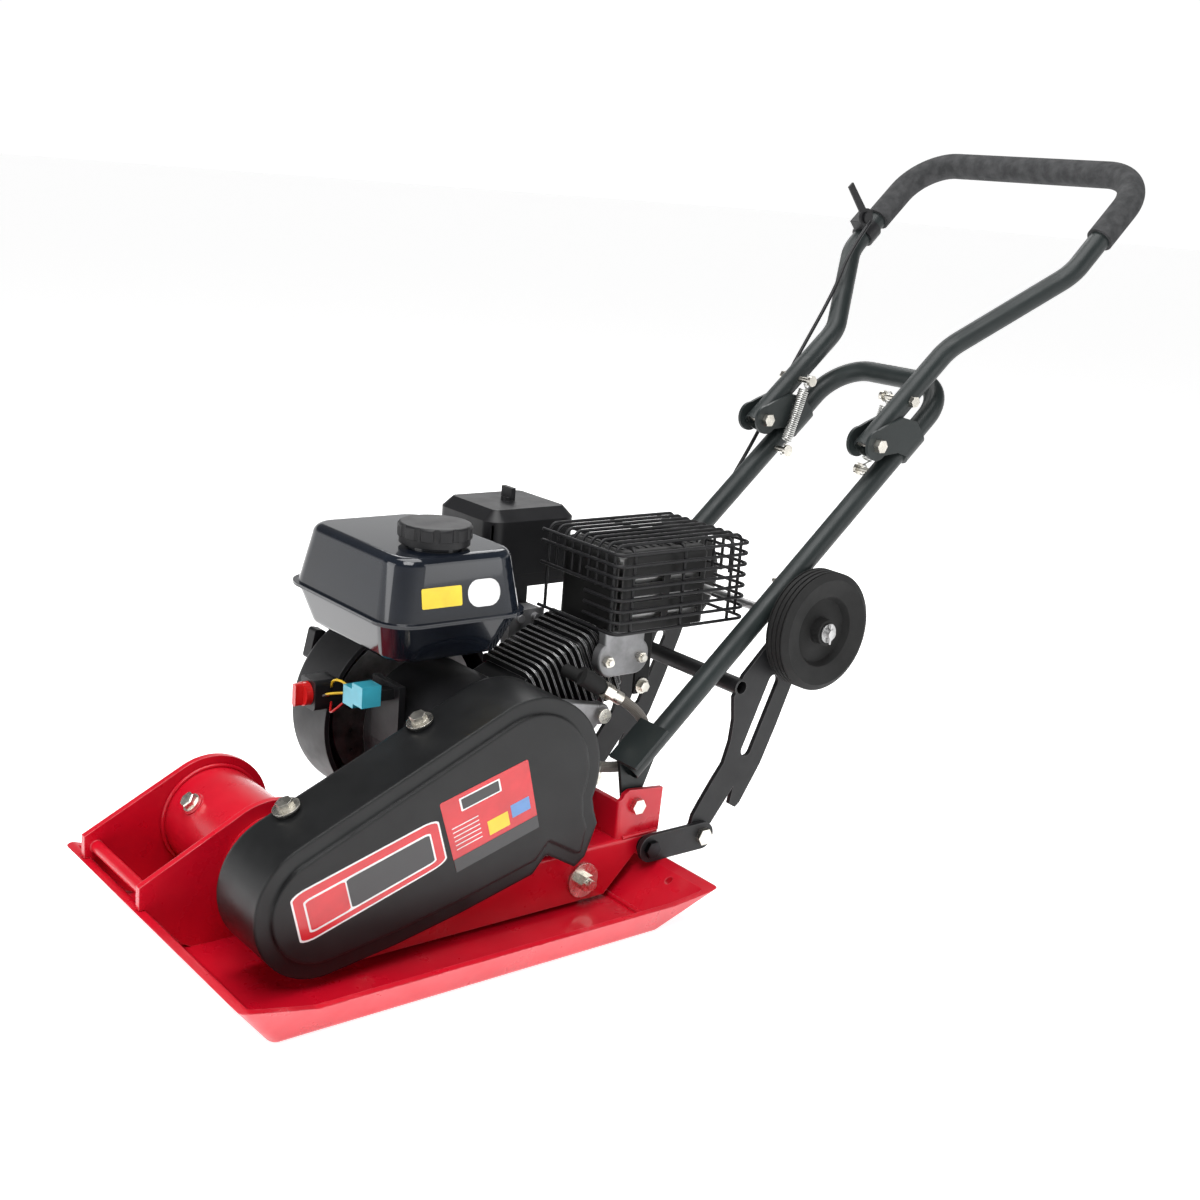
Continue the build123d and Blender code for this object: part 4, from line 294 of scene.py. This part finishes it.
FINISH = {
    RED: ["base_plate", "weld_beads", "exciter_side_plates", "exciter_tube", "exciter_covers",
          "mount_pedestals", "engine_deck", "handle_brackets"],
    GUARD: ["belt_guard", "guard_stays"],
    HANDLE: ["lower_handle", "upper_handle", "hinge_saddles"],
    FRAME_BLACK: ["wheel_frame", "link_arms", "muffler_cage", "fan_housing", "recoil_cover", "crankcase"],
    SHIELD: ["muffler_shield"],
    PLASTIC: ["air_cleaner_base", "air_cleaner_cover", "switch_box", "fuel_cap", "throttle_clamp",
              "throttle_lever", "starter_grip", "switch_wires", "throttle_cable"],
    RUBBER: ["rubber_mounts", "v_belt", "plug_cap"],
    TYRE: ["wheel_left", "wheel_right"],
    TANK: ["tank_upper", "tank_lower"],
    FOAM: ["foam_grip"],
    ZINC: ["cover_bolts", "mount_fasteners", "handle_fasteners", "spring_studs", "link_bolts",
           "lead_fittings"],
    STEEL: ["exciter_bearings", "crankshaft", "clutch_hub", "clutch_drum", "exciter_shaft", "exciter_pulley",
            "muffler", "axle"],
    SPRING: ["handle_springs"],
    CAST: ["side_cover", "exhaust_elbow", "carburettor"],
    FINS: ["cylinder", "cylinder_head"],
    BRAID: ["ignition_lead"],
    SWITCH_RED: ["engine_switch"],
    CYAN: ["wiring_connectors"],
}
for material, names in FINISH.items():
    for name in names:
        mesh = NODES[name].data
        mesh.materials.clear()
        mesh.materials.append(material)


BLACK_OXIDE = metal("black_oxide", (0.03, 0.03, 0.032), 0.38)
WIRE_YELLOW = plain("wire_yellow", (0.7, 0.45, 0.02), 0.35)
WIRE_RED = plain("wire_red", (0.5, 0.01, 0.01), 0.35)


def paint_where(name, material, inside):
    """Gives a second material to the faces of a node whose centre passes a test."""
    node = NODES[name]
    mesh = node.data
    mesh.materials.append(material)
    slot_index = len(mesh.materials) - 1
    for poly in mesh.polygons:
        if inside(node.matrix_world @ poly.center):
            poly.material_index = slot_index


# the front link bolts are black, not plated
LINK_MIDDLE = -0.33
paint_where("link_bolts", BLACK_OXIDE, lambda spot: spot.x > LINK_MIDDLE)
WIRE_SPLIT_HIGH = 0.2415
WIRE_SPLIT_LOW = 0.2335
paint_where("switch_wires", WIRE_YELLOW, lambda spot: spot.z > WIRE_SPLIT_HIGH)
paint_where("switch_wires", WIRE_RED, lambda spot: spot.z < WIRE_SPLIT_LOW)


# ------------------------------------------------------------ mesh helpers
def add_mesh(name, verts, faces, material, smooth=False):
    """A new mesh object linked to the scene."""
    mesh = bpy.data.meshes.new(name)
    mesh.from_pydata([tuple(v) for v in verts], [], faces)
    mesh.validate()
    mesh.materials.append(material)
    if smooth:
        mesh.shade_smooth()
    made = bpy.data.objects.new(name, mesh)
    bpy.context.scene.collection.objects.link(made)
    return made


def rounded(corners, radius, steps=5):
    """The outline with each corner replaced by an arc, in flat coordinates."""
    line = []
    count = len(corners)
    for index, corner in enumerate(corners):
        here = Vector(corner)
        before = (Vector(corners[index - 1]) - here).normalized()
        after = (Vector(corners[(index + 1) % count]) - here).normalized()
        half = math.acos(max(-1.0, min(1.0, before.dot(after)))) / 2
        reach = radius / math.tan(half)
        centre = here + (before + after).normalized() * (radius / math.sin(half))
        start = here + before * reach - centre
        stop = here + after * reach - centre
        for step in range(steps + 1):
            part = step / steps
            spoke = (start * (1 - part) + stop * part).normalized() * radius
            line.append(centre + spoke)
    return line


def sheet_on(name, outline, place, thick, material):
    """A thin decal: a flat outline put in space by a function of (u, v, height)."""
    count = len(outline)
    verts = [place(u, v, 0.0) for u, v in outline] + [place(u, v, thick) for u, v in outline]
    faces = [tuple(range(count, 2 * count)), tuple(range(count - 1, -1, -1))]
    for index in range(count):
        follow = (index + 1) % count
        faces.append((index, follow, count + follow, count + index))
    made = add_mesh(name, verts, faces, material)
    shape = bmesh.new()
    shape.from_mesh(made.data)
    bmesh.ops.recalc_face_normals(shape, faces=shape.faces)
    shape.to_mesh(made.data)
    shape.free()
    return made


def nurbs_path(points, detail=10):
    """Points along the smooth NURBS line that has these control points."""
    curve = bpy.data.curves.new("route", "CURVE")
    curve.dimensions = "3D"
    curve.resolution_u = detail
    spline = curve.splines.new("NURBS")
    spline.points.add(len(points) - 1)
    for slot_point, point in zip(spline.points, points):
        slot_point.co = (*point, 1.0)
    spline.order_u = 3
    spline.use_endpoint_u = True
    holder = bpy.data.objects.new("route", curve)
    bpy.context.scene.collection.objects.link(holder)
    bpy.context.view_layer.update()
    mesh = bpy.data.meshes.new_from_object(holder)
    line = [vert.co.copy() for vert in mesh.vertices]
    bpy.data.objects.remove(holder)
    bpy.data.curves.remove(curve)
    bpy.data.meshes.remove(mesh)
    return line


def tube(name, line, radius, material, sides=14):
    """A closed round tube along a line of points, with UVs along and round it."""
    tangents = []
    for index in range(len(line)):
        ahead = line[min(index + 1, len(line) - 1)]
        behind = line[max(index - 1, 0)]
        tangents.append((ahead - behind).normalized())
    side = tangents[0].orthogonal().normalized()
    verts = []
    for point, tangent in zip(line, tangents):
        side = (side - tangent * side.dot(tangent)).normalized()
        other = tangent.cross(side)
        for step in range(sides):
            swing = 2 * math.pi * step / sides
            verts.append(point + (side * math.cos(swing) + other * math.sin(swing)) * radius)
    faces = []
    for ring in range(len(line) - 1):
        for step in range(sides):
            follow = (step + 1) % sides
            faces.append((ring * sides + step, ring * sides + follow,
                          (ring + 1) * sides + follow, (ring + 1) * sides + step))
    faces.append(tuple(range(sides - 1, -1, -1)))
    faces.append(tuple(range((len(line) - 1) * sides, len(line) * sides)))
    made = add_mesh(name, verts, faces, material, smooth=True)
    layer = made.data.uv_layers.new(name="UVMap")
    length = sum((b - a).length for a, b in zip(line, line[1:]))
    runs = [0.0]
    for a, b in zip(line, line[1:]):
        runs.append(runs[-1] + (b - a).length / length)
    for poly in made.data.polygons:
        for loop in poly.loop_indices:
            vert = made.data.loops[loop].vertex_index
            round_part = (vert % sides) / sides
            wraps = max(v % sides for v in poly.vertices) == sides - 1
            if len(poly.vertices) == 4 and vert % sides == 0 and wraps:
                round_part = 1.0
            layer.data[loop].uv = (runs[vert // sides], round_part)
    return made


# ------------------------------------------------------------ cords and springs
LEAD_ROUTE = [
    (-0.2592, 0.0679, 0.2425),
    (-0.2761, 0.0703, 0.2322),
    (-0.3060, 0.0640, 0.2040),
    (-0.3110, 0.0630, 0.1740),
    (-0.2900, 0.0610, 0.1540),
    (-0.2620, 0.0610, 0.1530),
    (-0.2360, 0.0620, 0.1600),
]
lead = tube("ignition_lead_sleeve", nurbs_path(LEAD_ROUTE, 16), 6.5 * MM, BRAID, sides=28)
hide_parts("ignition_lead")
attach(lead, "machine")

CABLE_ROUTE = [
    (-0.8383, -0.1560, 0.7991),
    (-0.7960, -0.1500, 0.7565),
    (-0.7564, -0.1320, 0.7052),
    (-0.6908, -0.1260, 0.6129),
    (-0.6540, -0.1220, 0.5611),
    (-0.6211, -0.1220, 0.5020),
    (-0.5812, -0.1210, 0.4447),
    (-0.5357, -0.1060, 0.3905),
    (-0.4836, -0.1080, 0.3437),
    (-0.4296, -0.1170, 0.3006),
    (-0.3640, -0.1180, 0.2680),
    (-0.3060, -0.1130, 0.2700),
    (-0.2720, -0.1000, 0.2810),
    (-0.2520, -0.0922, 0.2900),
]
CABLE_R = 2.5 * MM
cable_line = nurbs_path(CABLE_ROUTE)
MEETING = Vector(CABLE_ROUTE[8])
share = min(range(len(cable_line)), key=lambda i: (cable_line[i] - MEETING).length)
upper_cable = tube("throttle_cable_upper", cable_line[:share + 1], CABLE_R, PLASTIC)
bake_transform(upper_cable)
lower_cable = tube("throttle_cable_lower", cable_line[share:], CABLE_R, PLASTIC)
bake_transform(lower_cable)
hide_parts("throttle_cable")


def coil_line(low, high, turns, radius, steps=16):
    """A close-wound extension spring with a hooked eye at each end."""
    axis = high - low
    along = axis.normalized()
    across = Vector((0, 1, 0))
    third = along.cross(across)
    eye = 6.6 * MM
    body = axis.length - 4 * eye
    line = []
    for step in range(13):
        swing = math.radians(200 - 230 * step / 12)
        line.append(low + third * eye * math.sin(swing) + along * eye * math.cos(swing))
    start = low + along * 2 * eye
    for step in range(turns * steps + 1):
        swing = 2 * math.pi * step / steps
        height = body * step / (turns * steps)
        line.append(start + along * height + (across * math.cos(swing) + third * math.sin(swing)) * radius)
    for step in range(13):
        swing = math.radians(210 - 230 * step / 12)
        line.append(high + third * eye * math.sin(swing) + along * eye * math.cos(swing))
    return line


SPRING_PEG = Vector((-0.62791, 0.072, 0.49735))
SPRING_STUD = Vector((-0.65912, 0.072, 0.58985))
SPRING_TURNS = 26
COIL_R = 6.2 * MM
SPRING_WIRE = 1.1 * MM
for side, name in ((1, "spring_near"), (-1, "spring_far")):
    flip = Vector((1, side, 1))
    line = coil_line(SPRING_PEG * flip, SPRING_STUD * flip, SPRING_TURNS, COIL_R)
    spring = tube(name, line, SPRING_WIRE, SPRING, sides=8)
    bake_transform(spring)
    if side > 0:
        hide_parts("handle_springs")

# the starter rope runs from the recoil housing into the grip
grip_low, grip_high = (Vector(c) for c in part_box("starter_grip"))
JOINTS = {joint["name"]: joint for joint in frame["record"]["behaviour"]["joints"]}
PULL = Vector(JOINTS["starter_pull"]["axis"])
grip_mid = (grip_low + grip_high) / 2
rope_start = grip_mid - PULL * 0.024
rope_end = grip_mid - PULL * 0.006
rope_line = [rope_start.lerp(rope_end, step / 30) for step in range(31)]
rope = tube("starter_rope", rope_line, 2.2 * MM, PLASTIC, sides=10)
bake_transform(rope)

# ------------------------------------------------------------ decals, all blank of text
LABEL_RED = plain("label_red", (0.62, 0.012, 0.02), 0.25, coat=0.5)
LABEL_WHITE = plain("label_white", (0.85, 0.85, 0.85), 0.3, coat=0.4)
LABEL_DARK = plain("label_dark", (0.02, 0.02, 0.022), 0.3, coat=0.4)
LABEL_YELLOW = plain("label_yellow", (0.85, 0.62, 0.02), 0.3, coat=0.4)
LABEL_BLUE = plain("label_blue", (0.12, 0.28, 0.6), 0.3, coat=0.4)
GUARD_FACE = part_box("belt_guard")[1][1]
PRINT = 0.25 * MM


def on_guard(corners, layer):
    """A place function for a four-cornered label on the guard's face."""
    top_front, low_front, low_rear, top_rear = (Vector(corner) * MM for corner in corners)

    def place(u, v, height):
        spot = (top_front.lerp(top_rear, u)).lerp(low_front.lerp(low_rear, u), v)
        return spot.x, GUARD_FACE + layer * PRINT + height, spot.y

    return place


def label_part(name, place, box, material, radius):
    """Part of a label, from its share of the label's width and height."""
    left, right, top, low = box
    corners = [(left, top), (right, top), (right, low), (left, low)]
    made = sheet_on(name, rounded(corners, radius * (low - top) * 0.6), place, PRINT, material)
    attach(made, "machine")
    return made


FRONT_LABEL = [(200, 122), (185, 65), (14, 120), (30, 173)]
label_part("front_label_border", on_guard(FRONT_LABEL, 0), (0.0, 1.0, 0.0, 1.0), LABEL_WHITE, radius=0.18)
label_part("front_label_field", on_guard(FRONT_LABEL, 1), (0.012, 0.988, 0.035, 0.965), LABEL_RED,
           radius=0.17)
label_part("front_label_rim", on_guard(FRONT_LABEL, 2), (0.07, 0.93, 0.2, 0.86), LABEL_WHITE, radius=0.12)
label_part("front_label_left", on_guard(FRONT_LABEL, 3), (0.082, 0.34, 0.24, 0.82), LABEL_RED, radius=0.1)
label_part("front_label_right", on_guard(FRONT_LABEL, 3), (0.35, 0.918, 0.24, 0.82), LABEL_DARK, radius=0.1)

BACK_LABEL = [(29, 188), (2, 105), (-104, 136), (-82, 219)]
label_part("back_label_field", on_guard(BACK_LABEL, 0), (0.0, 1.0, 0.0, 1.0), LABEL_RED, radius=0.04)
label_part("back_label_rim", on_guard(BACK_LABEL, 1), (0.2, 0.66, 0.06, 0.24), LABEL_WHITE, radius=0.1)
label_part("back_label_name", on_guard(BACK_LABEL, 2), (0.22, 0.64, 0.08, 0.22), LABEL_DARK, radius=0.1)
label_part("back_label_band", on_guard(BACK_LABEL, 1), (0.0, 1.0, 0.82, 1.0), LABEL_DARK, radius=0.04)
label_part("back_label_yellow", on_guard(BACK_LABEL, 1), (0.44, 0.68, 0.55, 0.75), LABEL_YELLOW, radius=0.04)
label_part("back_label_blue", on_guard(BACK_LABEL, 1), (0.72, 0.94, 0.5, 0.68), LABEL_BLUE, radius=0.04)
for row in range(6):
    low = 0.4 + 0.06 * row
    label_part("back_label_line_%d" % row, on_guard(BACK_LABEL, 1), (0.06, 0.36, low, low + 0.012),
               LABEL_WHITE, radius=0.01)

TANK_SEAM = 0.347
TANK_ROOF = 0.418
TANK_SIDE_FOOT = 0.022
TANK_SIDE_LEAN = 0.013


def on_tank_side(u, v, height):
    """A place on the tank's leaning near side: u along X, v up in metres."""
    rise = v - TANK_SEAM
    lean = TANK_SIDE_LEAN / (TANK_ROOF - TANK_SEAM)
    return u, TANK_SIDE_FOOT - rise * lean + height + PRINT, v


def tank_patch(name, corners, radius, material):
    made = sheet_on(name, rounded(corners, radius), on_tank_side, PRINT, material)
    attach(made, "machine")


YELLOW_PATCH = [(-0.010, 0.364), (-0.062, 0.364), (-0.062, 0.386), (-0.010, 0.386)]
WHITE_PATCH = [(-0.070, 0.360), (-0.113, 0.360), (-0.113, 0.390), (-0.070, 0.390)]
tank_patch("tank_patch_yellow", YELLOW_PATCH, 2 * MM, LABEL_YELLOW)
tank_patch("tank_patch_white", WHITE_PATCH, 14 * MM, LABEL_WHITE)

# ------------------------------------------------------------ floor and light
def add_floor():
    """A pale seamless floor."""
    mesh = bpy.data.meshes.new("floor")
    half = 60.0
    corners = [(-half, -half, 0), (half, -half, 0), (half, half, 0), (-half, half, 0)]
    mesh.from_pydata(corners, [], [(0, 1, 2, 3)])
    floor = bpy.data.objects.new("floor", mesh)
    bpy.context.scene.collection.objects.link(floor)
    shader = Shader("floor_white", (0.85, 0.85, 0.85), 0.8, specular=0.1)
    shader.main.inputs["Emission Color"].default_value = (1.0, 1.0, 1.0, 1.0)
    shader.main.inputs["Emission Strength"].default_value = 0.82
    shader.bump(shader.noise(3.0), 0.02, 2.0 * MM)
    mesh.materials.append(shader.done())


def add_area(name, place, target, size, power, tint=(1, 1, 1)):
    """A soft rectangular lamp aimed at a point."""
    lamp = bpy.data.lights.new(name, "AREA")
    lamp.shape = "RECTANGLE"
    lamp.size, lamp.size_y = size
    lamp.energy = power
    lamp.color = tint
    holder = bpy.data.objects.new(name, lamp)
    holder.location = place
    aim = Vector(target) - Vector(place)
    holder.rotation_euler = aim.to_track_quat("-Z", "Y").to_euler()
    bpy.context.scene.collection.objects.link(holder)


add_floor()
add_area("key_light", (0.9, 1.3, 2.6), (-0.1, 0.0, 0.3), (1.4, 1.4), 46)
add_area("fill_light", (2.4, -0.6, 1.2), (-0.1, 0.0, 0.3), (1.6, 1.2), 20)
add_area("back_light", (-1.6, -1.8, 2.2), (-0.3, 0.0, 0.4), (1.6, 1.6), 24)
add_area("side_light", (-1.8, 2.0, 1.2), (-0.4, 0.0, 0.4), (1.0, 1.4), 10)
add_area("top_light", (-0.2, 0.0, 3.0), (-0.2, 0.0, 0.0), (2.0, 2.0), 62)

HORIZON_BAND = 0.14
CEILING_START = 0.32


def studio_world(near_horizon, overhead):
    """A white horizon that fades to a darker ceiling, the same from every side."""
    world = bpy.data.worlds.new("studio")
    world.use_nodes = True
    tree = world.node_tree
    coords = tree.nodes.new("ShaderNodeTexCoord")
    split = tree.nodes.new("ShaderNodeSeparateXYZ")
    ramp = tree.nodes.new("ShaderNodeMapRange")
    ramp.inputs["From Min"].default_value = HORIZON_BAND
    ramp.inputs["From Max"].default_value = CEILING_START
    ramp.inputs["To Min"].default_value = near_horizon
    ramp.inputs["To Max"].default_value = overhead
    tree.links.new(coords.outputs["Generated"], split.inputs["Vector"])
    tree.links.new(split.outputs["Z"], ramp.inputs["Value"])
    tree.nodes["Background"].inputs["Color"].default_value = (1.0, 1.0, 1.0, 1.0)
    tree.links.new(ramp.outputs["Result"], tree.nodes["Background"].inputs["Strength"])
    return world


world = studio_world(1.02, 0.12)
bpy.context.scene.world = world

# ------------------------------------------------------------ camera
CAMERA_PLACE = (0.8971, 1.4109, 0.8258)
CAMERA_RIGHT = Vector((-0.78062, 0.61988, 0.07993))
CAMERA_DOWN = Vector((0.09827, 0.24801, -0.96376))
CAMERA_AHEAD = Vector((-0.61724, -0.74447, -0.25452))
SENSOR = 36.0
LENS = 47.72
view = bpy.data.cameras.new("camera")
view.sensor_width = SENSOR
view.lens = LENS
camera = bpy.data.objects.new("camera", view)
turn = Matrix((CAMERA_RIGHT, -CAMERA_DOWN, -CAMERA_AHEAD)).transposed()
camera.matrix_world = Matrix.Translation(CAMERA_PLACE) @ turn.to_4x4()
bpy.context.scene.collection.objects.link(camera)
bpy.context.scene.camera = camera
bpy.context.scene.view_settings.view_transform = "Standard"
